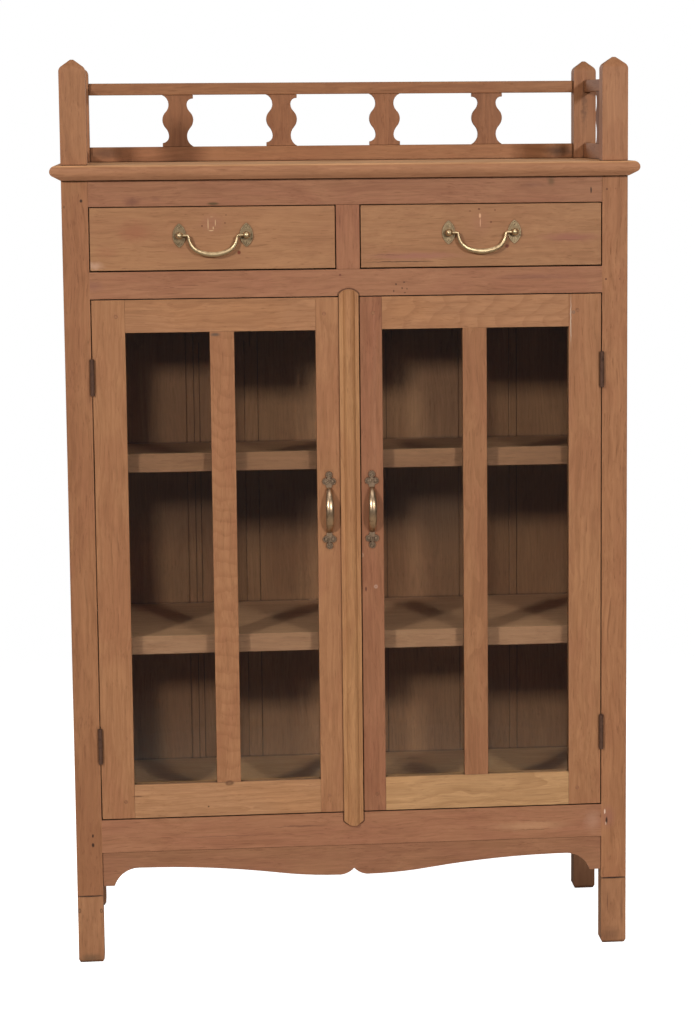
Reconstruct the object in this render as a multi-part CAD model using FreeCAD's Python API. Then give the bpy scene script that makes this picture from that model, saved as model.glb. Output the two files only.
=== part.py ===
import FreeCAD, Part
import math
import os
from FreeCAD import Vector

# A glazed cupboard of solid teak: two drawers over two glass doors, on four
# square legs, with a low gallery of sawn balusters round the top.
# Millimetres. +Z is up, the doors face -Y and +X is to the right.
# The origin is on the floor, under the middle of the whole outline.

# Whole cabinet
cabinet_width = 1000.0
cabinet_depth = 372.0

# Legs, and the feet that are spliced on below them
front_leg_width = 46.0
rear_leg_width = 42.0
leg_depth = 34.0
foot_height = 123.5
foot_chamfer = 3.0
foot_tenon_size = 16.0
foot_tenon_length = 30.0

# Heights of the front, from the bottom rail up
bottom_rail_bottom = 202.5
bottom_rail_height = 60.0
door_opening_height = 937.0
drawer_rail_height = 47.0
drawer_opening_height = 114.0
top_rail_height = 46.5

# Rails, their tenons and the drawer divider
front_rail_thickness = 26.0
rear_rail_thickness = 22.0
divider_width = 42.0
tenon_length = 22.0
tenon_thickness = 8.0
tenon_shoulder = 8.0
mortise_clearance = 0.2

# Side frames and their panels
side_rail_thickness = 22.0
side_rail_inset = 4.0
side_tenon_length = 12.0
side_bottom_rail_height = 60.0
side_middle_rail_height = 60.0
side_middle_rail_bottom = 770.0
side_top_rail_height = 62.0
side_panel_thickness = 9.0
panel_groove_depth = 6.0
panel_end_gap = 1.0
groove_clearance = 0.2
panel_field_margin = 26.0
panel_field_depth = 2.5

# Back of tongued boards, held in grooves
back_board_thickness = 12.0
back_tongue_length = 5.0
back_tongue_thickness = 4.0
back_bead_width = 15.0
back_quirk = 1.6
# Where the joints of the back come, from the left edge, as shares of its width
back_joint_shares = (0.187, 0.320, 0.456, 0.600, 0.744, 0.863)

# Top board and its thumb moulding
top_board_thickness = 26.0
nosing_overhang = 19.0
nosing_flat = 7.0
nosing_tip_drop = 10.5
nosing_under_width = 13.0
nosing_under_drop = 19.0

# Apron under the bottom rail
apron_thickness = 20.0
apron_setback = 2.0
apron_bracket_bottom = 140.0
apron_bracket_width = 21.0
apron_cove_width = 45.0
apron_cove_bulge = 6.5
apron_high = 172.0
apron_lobe_bottom = 146.0
apron_lobe_offset = 24.5
apron_cusp = 158.0
# How much of the long ogee is its outer arc
apron_outer_arc_share = 0.69

# Floor, shelves and what carries them
floor_thickness = 22.0
shelf_thickness = 13.0
shelf_lipping_height = 33.0
shelf_lipping_thickness = 12.0
upper_shelf_bottom = 887.0
lower_shelf_top = 590.0
bearer_width = 19.0
bearer_height = 20.0
board_gap = 0.5
door_stop_height = 12.0
door_stop_depth = 12.0

# Drawer runners, guides and kickers
runner_height = 22.0
runner_width = 26.0
guide_height = 20.0
kicker_height = 20.0
centre_runner_width = 80.0
guide_clearance = 0.5

# Drawers
drawer_side_gap = 1.8
drawer_top_gap = 1.5
drawer_bottom_gap = 2.5
drawer_front_thickness = 20.0
drawer_side_thickness = 12.0
drawer_back_thickness = 12.0
drawer_bottom_thickness = 6.0
drawer_bottom_rise = 10.0
drawer_groove_depth = 5.0
drawer_side_drop = 5.0
drawer_back_drop = 6.0
drawer_length = 312.0
drawer_slide_gap = 0.3
dovetail_depth = 12.0
dovetail_width = 22.0
dovetail_flare = 3.0
dovetail_count = 3
dovetail_clearance = 0.1

# Doors
door_gap = 2.0
meeting_gap = 1.5
door_thickness = 21.0
stile_width = 58.0
door_top_rail_height = 58.0
door_bottom_rail_height = 61.0
outer_pane_width = 148.0
muntin_width = 43.0
inner_pane_edge = 59.0
door_tenon_length = 30.0
door_tenon_thickness = 7.0
door_tenon_shoulder = 11.0
muntin_tenon_length = 16.0
peg_diameter = 6.0
peg_sides = 8
peg_length = 16.0
peg_setback = 15.5
peg_clearance = 0.05
glass_rebate_width = 8.0
glass_rebate_depth = 11.0
bead_width = 7.6
bead_gap = 0.1

# Bevelled glass
pane_thickness = 5.0
pane_edge_thickness = 2.5
pane_bevel_width = 36.0
pane_edge_gap = 1.0
pane_seat_gap = 0.1

# Strip that covers the line between the doors
strip_width = 35.0
strip_thickness = 4.0
strip_bead_width = 21.0
strip_bead_height = 10.0
strip_top_lap = 12.0
strip_bottom_lap = 23.0
strip_end_round = 9.0
recess_depth = 1.0
recess_margin = 2.0

# Butt hinges
hinge_length = 64.0
hinge_leaf_width = 17.0
hinge_leaf_thickness = 1.6
hinge_leaf_gap = 0.4
hinge_barrel_diameter = 7.5
hinge_pin_diameter = 3.0
hinge_pin_clearance = 0.06
hinge_axis_proud = 4.2
hinge_knuckle_gap = 0.4
hinge_knuckles = 5
knuckle_sides = 12
upper_hinge_drop = 137.5
lower_hinge_rise = 136.5

# Cast bow pulls with trefoil ends
pull_height = 817.0
pull_length = 140.0
pull_reach = 27.0
pull_plate_thickness = 3.0
pull_lobe_diameter = 12.0
pull_lobe_spread = 11.0
pull_neck_width = 11.0
pull_bow_span = 84.0
pull_bow_width = 10.5
pull_bow_depth = 7.5
pull_bow_end_share = 0.6
pull_bow_stations = 10
lobe_sides = 16

# Bail handles on their pointed oval roses
bail_height = 1309.5
bail_spacing = 117.5
rose_width = 23.0
rose_length = 42.0
rose_thickness = 2.2
boss_stem_diameter = 8.0
boss_diameter = 13.0
boss_reach = 9.5
boss_steps = 4
boss_sides = 12
bail_pin_diameter = 4.4
bail_pin_clearance = 0.08
bail_pin_in_boss = 4.0
bail_drop = 33.7
bail_lead_length = 6.5
bail_bend_radius = 3.0
bail_arm_angle = 78.0
bail_shoulder_radius = 27.0
bail_shoulder_angle = 25.0
bail_end_diameter = 4.8
bail_middle_height = 9.0
bail_middle_depth = 6.4
bail_bend_stations = 2
bail_shoulder_stations = 4
bail_bow_stations = 2
bar_sides = 12

# Gallery
gallery_post_height = 185.0
gallery_cap_height = 17.0
gallery_shoulder_round = 6.0
gallery_peak_round = 5.0
gallery_bottom_rail_height = 28.0
gallery_top_rail_height = 22.0
gallery_top_rail_bottom = 124.5
gallery_rail_thickness = 14.0
gallery_side_inset = 9.0
baluster_width = 58.0
baluster_neck_width = 34.0
baluster_thickness = 11.0
baluster_spacing = 195.0
baluster_fillet_height = 7.0
# Heights of the sawn outline's turning points, as shares of the baluster
baluster_neck_share = 0.20
baluster_bulge_share = 0.52
baluster_upper_neck_share = 0.82
baluster_chords = 4
# Which end of each long edge keeps its square fillet: left edge, right edge
baluster_fillets = (("foot", "head"), ("foot", "head"), ("foot", "foot"), ("head", "head"))

# Shortest straight worth drawing between two rounded corners
setback_smallest = 0.001

# Levels and planes that follow from the sizes above
half_width = cabinet_width / 2
front_y = (pull_reach - cabinet_depth) / 2
back_y = front_y + cabinet_depth
front_inner_x = half_width - front_leg_width
rear_inner_x = half_width - rear_leg_width
front_leg_back_y = front_y + leg_depth
rear_leg_front_y = back_y - leg_depth
front_rail_back_y = front_y + front_rail_thickness
door_back_y = front_y + door_thickness
rear_rail_front_y = back_y - (leg_depth + rear_rail_thickness) / 2
rear_rail_back_y = rear_rail_front_y + rear_rail_thickness
back_boards_front_y = (rear_rail_front_y + rear_rail_back_y - back_board_thickness) / 2
back_boards_back_y = back_boards_front_y + back_board_thickness
door_opening_bottom = bottom_rail_bottom + bottom_rail_height
door_opening_top = door_opening_bottom + door_opening_height
drawer_opening_bottom = door_opening_top + drawer_rail_height
drawer_opening_top = drawer_opening_bottom + drawer_opening_height
carcass_top = drawer_opening_top + top_rail_height
board_top = carcass_top + top_board_thickness
side_rail_outer_x = half_width - side_rail_inset
side_rail_inner_x = side_rail_outer_x - side_rail_thickness
side_panel_x = (side_rail_inner_x + side_rail_outer_x) / 2
floor_top = door_opening_bottom + floor_thickness
boards_rear_edge_y = back_boards_front_y - board_gap
middle_rear_rail_front_y = boards_rear_edge_y - rear_rail_thickness
upper_hinge_height = door_opening_top - upper_hinge_drop
lower_hinge_height = door_opening_bottom + lower_hinge_rise
hinge_x = -(front_inner_x - door_gap / 2)
hinge_y = front_y - hinge_axis_proud
hinge_edge_x = -(front_inner_x - door_gap)
pane_outer_x = hinge_edge_x + stile_width
strip_right_x = strip_width / 2
meeting_line_x = strip_right_x + meeting_gap / 2
rebate_y = door_back_y - glass_rebate_depth

nodes = {}


def add(name, *solids):
    """Keep the solids of one named sub-part for writing out."""
    nodes.setdefault(name, []).extend(solids)


def box(x0, x1, y0, y1, z0, z1):
    """A block between two corners."""
    return Part.makeBox(x1 - x0, y1 - y0, z1 - z0, Vector(x0, y0, z0))


def grown_box(x0, x1, y0, y1, z0, z1, gap):
    """The same block with a gap added all round, to cut the room that a piece needs."""
    return box(x0 - gap, x1 + gap, y0 - gap, y1 + gap, z0 - gap, z1 + gap)


def mirrored(shape):
    """The same piece for the other side of the cabinet."""
    return shape.mirror(Vector(0, 0, 0), Vector(1, 0, 0))


def fuse(first, *others):
    """One clean solid from several that meet."""
    return first.multiFuse(list(others)).removeSplitter().Solids[0]


def cut(shape, *tools):
    """The shape with the tools taken out of it."""
    return shape.cut(list(tools)).removeSplitter().Solids[0]


def line(a, b):
    """A straight edge."""
    return Part.LineSegment(a, b).toShape()


def arc(a, middle, b):
    """A round edge through three points."""
    return Part.Arc(a, middle, b).toShape()


def prism(edges, direction):
    """The solid swept by a flat outline."""
    return Part.Face(Part.Wire(edges)).extrude(direction)


def rounded_prism(corners, direction):
    """The solid swept by a flat outline of (point, setback) corners, each rounded back by its setback."""
    edges, last = [], None
    count = len(corners)
    for index in range(count + 1):
        point, setback = corners[index % count]
        before = (corners[(index - 1) % count][0] - point).normalize()
        after = (corners[(index + 1) % count][0] - point).normalize()
        start, end = point + before * setback, point + after * setback
        if last is not None and (start - last).Length > setback_smallest:
            edges.append(line(last, start))
        if setback and index < count:
            inward = before + after
            half_turn = math.acos(before.dot(after)) / 2
            inward.normalize()
            middle = point + inward * (setback * (1 - math.sin(half_turn)) / math.cos(half_turn))
            edges.append(arc(start, middle, end))
        last = end
    return prism(edges, direction)


def polygon_prism(points, direction):
    """The solid swept by a flat outline with straight sides."""
    return Part.Face(Part.makePolygon(list(points) + [points[0]])).extrude(direction)


def ring(centre, across, upright, sides):
    """The corners of a flat-sided oval with those two half axes."""
    turns = [math.tau * (index + 0.5) / sides for index in range(sides)]
    return [centre + across * math.cos(turn) + upright * math.sin(turn) for turn in turns]


def flat_face(points):
    """A flat face with those corners."""
    return Part.Face(Part.makePolygon(list(points) + [points[0]]))


def faceted_bar(rings):
    """A solid bar with flat sides, skinned through its rings from one end to the other."""
    faces = [flat_face(rings[0]), flat_face(rings[-1])]
    for near, far in zip(rings, rings[1:]):
        for index in range(len(near)):
            after = (index + 1) % len(near)
            faces.append(flat_face((near[index], near[after], far[after])))
            faces.append(flat_face((near[index], far[after], far[index])))
    solid = Part.makeSolid(Part.makeShell(faces))
    if solid.Volume < 0:
        solid.reverse()
    return solid.removeSplitter()


def tenon_x(x0, x1, rail_y0, rail_y1, z0, z1, gap=0):
    """A tenon along X on a rail's end, or with a gap the mortise for it."""
    middle = (rail_y0 + rail_y1) / 2
    low = middle - tenon_thickness / 2
    high = middle + tenon_thickness / 2
    return grown_box(x0, x1, low, high, z0 + tenon_shoulder, z1 - tenon_shoulder, gap)


def tenon_y(y0, y1, rail_x0, rail_x1, z0, z1, gap=0):
    """A tenon along Y on a side rail's end, or with a gap the mortise for it."""
    middle = (rail_x0 + rail_x1) / 2
    low = middle - tenon_thickness / 2
    high = middle + tenon_thickness / 2
    return grown_box(low, high, y0, y1, z0 + tenon_shoulder, z1 - tenon_shoulder, gap)


# Bottom and top of each rail that runs between the legs
front_rail_levels = (
    (bottom_rail_bottom, door_opening_bottom),
    (door_opening_top, drawer_opening_bottom),
    (drawer_opening_top, carcass_top),
)
side_rail_levels = (
    (bottom_rail_bottom, bottom_rail_bottom + side_bottom_rail_height),
    (side_middle_rail_bottom, side_middle_rail_bottom + side_middle_rail_height),
    (carcass_top - side_top_rail_height, carcass_top),
)
end_rear_rail_levels = (
    (bottom_rail_bottom, door_opening_bottom),
    (drawer_opening_top, carcass_top),
)


def cross_rail(inner_x, y0, y1, z0, z1):
    """A rail across the cabinet with a tenon at each end."""
    body = box(-inner_x, inner_x, y0, y1, z0, z1)
    right = tenon_x(inner_x, inner_x + tenon_length, y0, y1, z0, z1)
    return fuse(body, right, mirrored(right))


def side_rail(z0, z1):
    """A rail of the right side frame with a tenon at each end."""
    x0, x1 = side_rail_inner_x, side_rail_outer_x
    body = box(x0, x1, front_leg_back_y, rear_leg_front_y, z0, z1)
    front = tenon_y(front_leg_back_y - side_tenon_length, front_leg_back_y, x0, x1, z0, z1)
    rear = tenon_y(rear_leg_front_y, rear_leg_front_y + side_tenon_length, x0, x1, z0, z1)
    return fuse(body, front, rear)


def side_panel_groove():
    """The room that the right side panels take in the legs and rails, from rail to rail."""
    half = side_panel_thickness / 2 + groove_clearance
    bottom = side_rail_levels[0][1] - panel_groove_depth
    top = side_rail_levels[-1][0] + panel_groove_depth
    y0 = front_leg_back_y - panel_groove_depth
    y1 = rear_leg_front_y + panel_groove_depth
    return box(side_panel_x - half, side_panel_x + half, y0, y1, bottom, top)


def side_mortises(y0, y1):
    """Mortises for the right side rails between two depths of a leg."""
    x0, x1 = side_rail_inner_x, side_rail_outer_x
    return [tenon_y(y0, y1, x0, x1, z0, z1, mortise_clearance) for z0, z1 in side_rail_levels]


def foot_tenon(x, y, gap=0):
    """The square tenon on a foot, or with a gap the mortise for it in the leg's end."""
    half = foot_tenon_size / 2
    top_z = foot_height + foot_tenon_length
    return grown_box(x - half, x + half, y - half, y + half, foot_height, top_z, gap)


def hinge_gain(height):
    """The shallow pocket for a hinge leaf in the right front leg."""
    let_in = (hinge_leaf_gap / 2 + hinge_leaf_thickness) - door_gap / 2
    z0 = height - hinge_length / 2
    x0 = front_inner_x
    return box(x0, x0 + let_in, front_y, front_y + hinge_leaf_width, z0, z0 + hinge_length)


def front_leg():
    """The right front leg with every joint cut in it."""
    leg = box(front_inner_x, half_width, front_y, front_leg_back_y, foot_height, carcass_top)
    tools = [
        tenon_x(front_inner_x, front_inner_x + tenon_length, front_y, front_rail_back_y, z0, z1,
                mortise_clearance)
        for z0, z1 in front_rail_levels
    ]
    tools += side_mortises(front_leg_back_y - side_tenon_length, front_leg_back_y)
    tools.append(side_panel_groove())
    tools.append(foot_tenon(half_width - front_leg_width / 2, front_y + leg_depth / 2, mortise_clearance))
    tools += [hinge_gain(upper_hinge_height), hinge_gain(lower_hinge_height)]
    return cut(leg, *tools)


def back_groove():
    """The room that the back boards take in the rear legs and rails."""
    reach = rear_inner_x + panel_groove_depth
    y0 = back_boards_front_y - groove_clearance
    y1 = back_boards_back_y + groove_clearance
    z0 = door_opening_bottom - panel_groove_depth
    z1 = drawer_opening_top + panel_groove_depth
    return box(-reach, reach, y0, y1, z0, z1)


def rear_leg():
    """The right rear leg with every joint cut in it."""
    leg = box(rear_inner_x, half_width, rear_leg_front_y, back_y, foot_height, carcass_top)
    tools = [
        tenon_x(rear_inner_x, rear_inner_x + tenon_length, rear_rail_front_y, rear_rail_back_y,
                z0, z1, mortise_clearance)
        for z0, z1 in end_rear_rail_levels
    ]
    tools += side_mortises(rear_leg_front_y, rear_leg_front_y + side_tenon_length)
    tools += [side_panel_groove(), back_groove()]
    tools.append(foot_tenon(half_width - rear_leg_width / 2, back_y - leg_depth / 2, mortise_clearance))
    return cut(leg, *tools)


def foot(width, y0):
    """A right foot with an eased sole and a tenon that enters the leg."""
    x0, x1, y1 = half_width - width, half_width, y0 + leg_depth
    ease = foot_chamfer

    def outline(low, high):
        return [(low + ease, 0), (low, ease * 2), (low, foot_height), (high, foot_height), (high, ease * 2),
                (high - ease, 0)]

    across = polygon_prism([Vector(x, y0, z) for x, z in outline(x0, x1)], Vector(0, y1 - y0, 0))
    along = polygon_prism([Vector(x0, y, z) for y, z in outline(y0, y1)], Vector(x1 - x0, 0, 0))
    return fuse(across.common(along).Solids[0], foot_tenon((x0 + x1) / 2, (y0 + y1) / 2))


def build_legs():
    """Four legs and four feet."""
    front, rear = front_leg(), rear_leg()
    add("front_right_leg", front)
    add("front_left_leg", mirrored(front))
    add("rear_right_leg", rear)
    add("rear_left_leg", mirrored(rear))
    for width, y0 in ((front_leg_width, front_y), (rear_leg_width, rear_leg_front_y)):
        shape = foot(width, y0)
        add("spliced_feet", shape, mirrored(shape))


def strip_outline(margin, y):
    """The outline of the covering strip with its round ends, on a plane square to Y."""
    x0 = strip_right_x - strip_width - margin
    x1 = strip_right_x + margin
    z0 = door_opening_bottom - strip_bottom_lap - margin
    z1 = door_opening_top + strip_top_lap + margin
    middle = (x0 + x1) / 2
    return [
        arc(Vector(x0, y, z0 + strip_end_round), Vector(middle, y, z0),
            Vector(x1, y, z0 + strip_end_round)),
        line(Vector(x1, y, z0 + strip_end_round), Vector(x1, y, z1 - strip_end_round)),
        arc(Vector(x1, y, z1 - strip_end_round), Vector(middle, y, z1),
            Vector(x0, y, z1 - strip_end_round)),
        line(Vector(x0, y, z1 - strip_end_round), Vector(x0, y, z0 + strip_end_round)),
    ]


def strip_recess():
    """The shallow scoop in a rail's face where the strip's end lies."""
    return prism(strip_outline(recess_margin, front_y), Vector(0, recess_depth, 0))


def build_front_rails():
    """The three front rails and the drawer divider."""
    y0, y1 = front_y, front_rail_back_y
    bottom, drawer, top = [cross_rail(front_inner_x, y0, y1, z0, z1)
                           for z0, z1 in front_rail_levels]
    half = divider_width / 2
    stub = tenon_thickness
    divider = box(-half, half, y0, y1, drawer_opening_bottom, drawer_opening_top)
    stub_x0, stub_x1 = -half + tenon_shoulder, half - tenon_shoulder
    stub_y0 = (y0 + y1 - tenon_thickness) / 2
    stub_y1 = stub_y0 + tenon_thickness
    stub_z0, stub_z1 = drawer_opening_bottom - stub, drawer_opening_top + stub
    divider = fuse(divider, box(stub_x0, stub_x1, stub_y0, stub_y1, stub_z0, stub_z1))
    mortise = grown_box(stub_x0, stub_x1, stub_y0, stub_y1, stub_z0, stub_z1, mortise_clearance)
    add("bottom_front_rail", cut(bottom, strip_recess()))
    add("drawer_rail", cut(drawer, mortise, strip_recess()))
    add("top_front_rail", cut(top, mortise))
    add("drawer_divider", divider)


def apron_half(sign, y):
    """Edges of the apron's lower outline, from the middle cusp out to one leg."""
    def at(x, z):
        return Vector(sign * x, y, z)

    bracket_x = front_inner_x - apron_bracket_width
    cove_x = bracket_x - apron_cove_width
    run = cove_x - apron_lobe_offset
    turn_x = cove_x - run * apron_outer_arc_share
    rise = apron_high - apron_lobe_bottom
    turn_z = apron_high - rise * apron_outer_arc_share
    lobe_rise = apron_cusp - apron_lobe_bottom
    lobe_mid_x = apron_lobe_offset / 2
    lobe_mid_z = apron_lobe_bottom + lobe_rise / 4
    inner_mid = at((apron_lobe_offset + turn_x) / 2, apron_lobe_bottom + (turn_z - apron_lobe_bottom) / 4)
    outer_mid = at((turn_x + cove_x) / 2, apron_high - (apron_high - turn_z) / 4)
    cove_rise = apron_high - apron_bracket_bottom
    cove_mid = at((cove_x + bracket_x) / 2 + apron_cove_bulge,
                  apron_bracket_bottom + cove_rise / 2 + apron_cove_bulge)
    return [
        arc(at(0, apron_cusp), at(lobe_mid_x, lobe_mid_z), at(apron_lobe_offset, apron_lobe_bottom)),
        arc(at(apron_lobe_offset, apron_lobe_bottom), inner_mid, at(turn_x, turn_z)),
        arc(at(turn_x, turn_z), outer_mid, at(cove_x, apron_high)),
        arc(at(cove_x, apron_high), cove_mid, at(bracket_x, apron_bracket_bottom)),
        line(at(bracket_x, apron_bracket_bottom), at(front_inner_x, apron_bracket_bottom)),
        line(at(front_inner_x, apron_bracket_bottom), at(front_inner_x, bottom_rail_bottom)),
    ]


def build_apron():
    """The shaped board under the bottom rail."""
    y = front_y + apron_setback
    top = line(Vector(-front_inner_x, y, bottom_rail_bottom), Vector(front_inner_x, y, bottom_rail_bottom))
    edges = Part.sortEdges(apron_half(1, y) + apron_half(-1, y) + [top])[0]
    add("apron", prism(edges, Vector(0, apron_thickness, 0)))


def build_side_frames():
    """Rails and fielded panels between the front and rear legs."""
    groove = side_panel_groove()
    rails = [cut(side_rail(z0, z1), groove) for z0, z1 in side_rail_levels]
    half = side_panel_thickness / 2
    reach = panel_groove_depth - panel_end_gap
    y0, y1 = front_leg_back_y - reach, rear_leg_front_y + reach
    panels = []
    for below, above in zip(side_rail_levels[:-1], side_rail_levels[1:]):
        z0, z1 = below[1] - reach, above[0] + reach
        flat = box(side_panel_x - half, side_panel_x + half, y0, y1, z0, z1)
        edge = reach + panel_field_margin
        face_x = side_panel_x + half
        field = box(face_x, face_x + panel_field_depth, y0 + edge, y1 - edge, z0 + edge, z1 - edge)
        panels.append(fuse(flat, field))
    for side, turn in (("right", Part.Shape.copy), ("left", mirrored)):
        add(side + "_side_rails", *[turn(rail) for rail in rails])
        add(side + "_side_panels", *[turn(panel) for panel in panels])


def back_board(x0, x1, z0, z1, tongue):
    """One board of the back: a groove in its left edge, a tongue on its right, a bead by the joint."""
    y0, y1 = back_boards_front_y, back_boards_back_y
    middle = (y0 + y1) / 2
    half = back_tongue_thickness / 2
    board = box(x0, x1, y0, y1, z0, z1)
    if tongue:
        board = fuse(board, box(x1, x1 + back_tongue_length, middle - half, middle + half, z0, z1))
    if x0 > -rear_inner_x:
        deep = back_tongue_length + groove_clearance
        wide = half + groove_clearance
        slot = box(x0, x0 + deep, middle - wide, middle + wide, z0, z1)
        bead_x = x0 + back_bead_width
        quirk = polygon_prism(
            (Vector(bead_x - back_quirk / 2, y0, z0), Vector(bead_x + back_quirk / 2, y0, z0),
             Vector(bead_x, y0 + back_quirk, z0)), Vector(0, 0, z1 - z0))
        arris = polygon_prism(
            (Vector(x0, y0, z0), Vector(x0 + back_quirk, y0, z0), Vector(x0, y0 + back_quirk, z0)),
            Vector(0, 0, z1 - z0))
        board = cut(board, slot, quirk, arris)
    return board


def build_back():
    """Rear rails and the tongued boards between them."""
    groove = back_groove()
    for z0, z1 in end_rear_rail_levels:
        add("rear_rails", cut(cross_rail(rear_inner_x, rear_rail_front_y, rear_rail_back_y, z0, z1), groove))
    add("rear_rails", box(-rear_inner_x, rear_inner_x, middle_rear_rail_front_y, boards_rear_edge_y,
                          door_opening_top, drawer_opening_bottom))
    reach = panel_groove_depth - panel_end_gap
    edge = rear_inner_x + reach
    z0, z1 = door_opening_bottom - reach, drawer_opening_top + reach
    joints = [-rear_inner_x + share * rear_inner_x * 2 for share in back_joint_shares]
    lefts = [-edge] + joints
    rights = joints + [edge]
    for x0, x1 in zip(lefts, rights):
        add("back_boards", back_board(x0, x1, z0, z1, x1 < edge))


def nosing_round(at, out, drop):
    """The round between the moulding's tip, where it stands plumb, and a point further in."""
    run, rise = nosing_overhang - out, drop - nosing_tip_drop
    radius = (run ** 2 + rise ** 2) / (run * 2)
    turn = math.atan2(rise, radius - run) / 2
    middle = at(nosing_overhang - radius * (1 - math.cos(turn)), nosing_tip_drop + radius * math.sin(turn))
    return arc(at(out, drop), middle, at(nosing_overhang, nosing_tip_drop))


def nosing_edges(at):
    """The thumb moulding: round from the top face to its tip and under it, then straight back in."""
    return [
        line(at(0, 0), at(nosing_flat, 0)),
        nosing_round(at, nosing_flat, 0),
        nosing_round(at, nosing_under_width, nosing_under_drop),
        line(at(nosing_under_width, nosing_under_drop), at(0, top_board_thickness)),
    ]


def build_top_board():
    """The top, moulded on its front and both ends, with the mouldings mitred at the corners."""
    reach = half_width + nosing_overhang
    y_far = front_y - nosing_overhang
    front = nosing_edges(lambda out, down: Vector(-reach, front_y - out, board_top - down))
    front += [
        line(Vector(-reach, front_y, carcass_top), Vector(-reach, back_y, carcass_top)),
        line(Vector(-reach, back_y, carcass_top), Vector(-reach, back_y, board_top)),
        line(Vector(-reach, back_y, board_top), Vector(-reach, front_y, board_top)),
    ]
    along = prism(Part.sortEdges(front)[0], Vector(reach * 2, 0, 0))
    ends = []
    for sign in (1, -1):
        ends += nosing_edges(lambda out, down: Vector(sign * (half_width + out), y_far, board_top - down))
    for z in (board_top, carcass_top):
        ends.append(line(Vector(-half_width, y_far, z), Vector(half_width, y_far, z)))
    across = prism(Part.sortEdges(ends)[0], Vector(0, back_y - y_far, 0))
    add("top_board", along.common(across).Solids[0])


def notched_board(half_x, y0, z0, z1):
    """A board that fits round the rear legs and, where it starts beside them, the front legs."""
    board = box(-half_x, half_x, y0, boards_rear_edge_y, z0, z1)
    gap = board_gap
    outside = half_x + gap
    tools = []
    for inner_x, y_from, y_to in (
        (rear_inner_x - gap, rear_leg_front_y - gap, back_y),
        (front_inner_x - gap, front_y, front_leg_back_y + gap),
    ):
        right = box(inner_x, outside, y_from, y_to, z0, z1)
        tools += [right, mirrored(right)]
    return cut(board, *tools)


def build_floor():
    """The cupboard's floor, and the strip that stops the doors at the top."""
    half_x = side_panel_x - side_panel_thickness / 2 - board_gap
    y0 = door_back_y + board_gap
    add("floor_board", notched_board(half_x, y0, door_opening_bottom, floor_top))
    stop_y1 = door_back_y + board_gap + door_stop_depth
    add("door_stop", box(-front_inner_x, front_inner_x, door_back_y + board_gap, stop_y1,
                         door_opening_top - door_stop_height, door_opening_top))


def shelf(name, bottom, turned_over):
    """A shelf with a deep lipping along its front. The turned one has its lipping standing up."""
    half_x = side_rail_inner_x - board_gap
    y0 = front_leg_back_y + board_gap
    y1 = y0 + shelf_lipping_thickness
    board_z0 = bottom if turned_over else bottom + shelf_lipping_height - shelf_thickness
    lipping = box(-half_x, half_x, y0, y1, bottom, bottom + shelf_lipping_height)
    board = notched_board(half_x, y1, board_z0, board_z0 + shelf_thickness)
    add(name, board, lipping)
    bearer = box(side_rail_inner_x - bearer_width, side_rail_inner_x, y1 + board_gap, rear_leg_front_y,
                 board_z0 - bearer_height, board_z0)
    add("shelf_bearers", bearer, mirrored(bearer))


def build_shelves():
    """Two shelves and the bearers under their ends."""
    shelf("upper_shelf", upper_shelf_bottom, True)
    shelf("lower_shelf", lower_shelf_top - shelf_lipping_height, False)


def runner(x0, x1, z0, z1):
    """A strip from the front rail back to the rear rail, beside the front leg."""
    return box(x0, x1, front_rail_back_y, middle_rear_rail_front_y, z0, z1)


def build_drawer_supports():
    """Runners under the drawers, guides beside them and kickers above."""
    z1 = drawer_opening_bottom
    z0 = z1 - runner_height
    half = centre_runner_width / 2
    side_x0 = front_inner_x - runner_width
    side_runner = runner(side_x0, front_inner_x, z0, z1)
    side_guide = box(front_inner_x, side_rail_inner_x, front_leg_back_y, middle_rear_rail_front_y,
                     z0, z1 + guide_height)
    guide_half = divider_width / 2 - guide_clearance
    centre_guide = runner(-guide_half, guide_half, z1, z1 + guide_height)
    add("drawer_runners", side_runner, mirrored(side_runner), runner(-half, half, z0, z1))
    add("drawer_runners", side_guide, mirrored(side_guide), centre_guide)
    low, high = drawer_opening_top, drawer_opening_top + kicker_height
    y0, y1 = front_rail_back_y, rear_rail_front_y
    side_kicker = box(side_x0, front_inner_x, y0, y1, low, high)
    add("drawer_kickers", side_kicker, mirrored(side_kicker), box(-half, half, y0, y1, low, high))


def dovetails(side_x0, side_x1, z0, z1, gap=0):
    """Tails on a drawer side's front end, or with a gap the sockets for them."""
    y_wide = front_y + drawer_front_thickness - dovetail_depth
    y_root = front_y + drawer_front_thickness
    pitch = (z1 - z0) / dovetail_count
    tails = []
    for index in range(dovetail_count):
        middle = z0 + pitch * (index + 0.5)
        root = dovetail_width / 2 + gap
        wide = root + dovetail_flare
        x = side_x0 - gap
        tails.append(polygon_prism(
            (Vector(x, y_root, middle - root), Vector(x, y_wide - gap, middle - wide),
             Vector(x, y_wide - gap, middle + wide), Vector(x, y_root, middle + root)),
            Vector(side_x1 - side_x0 + gap * 2, 0, 0)))
    return tails


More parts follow.
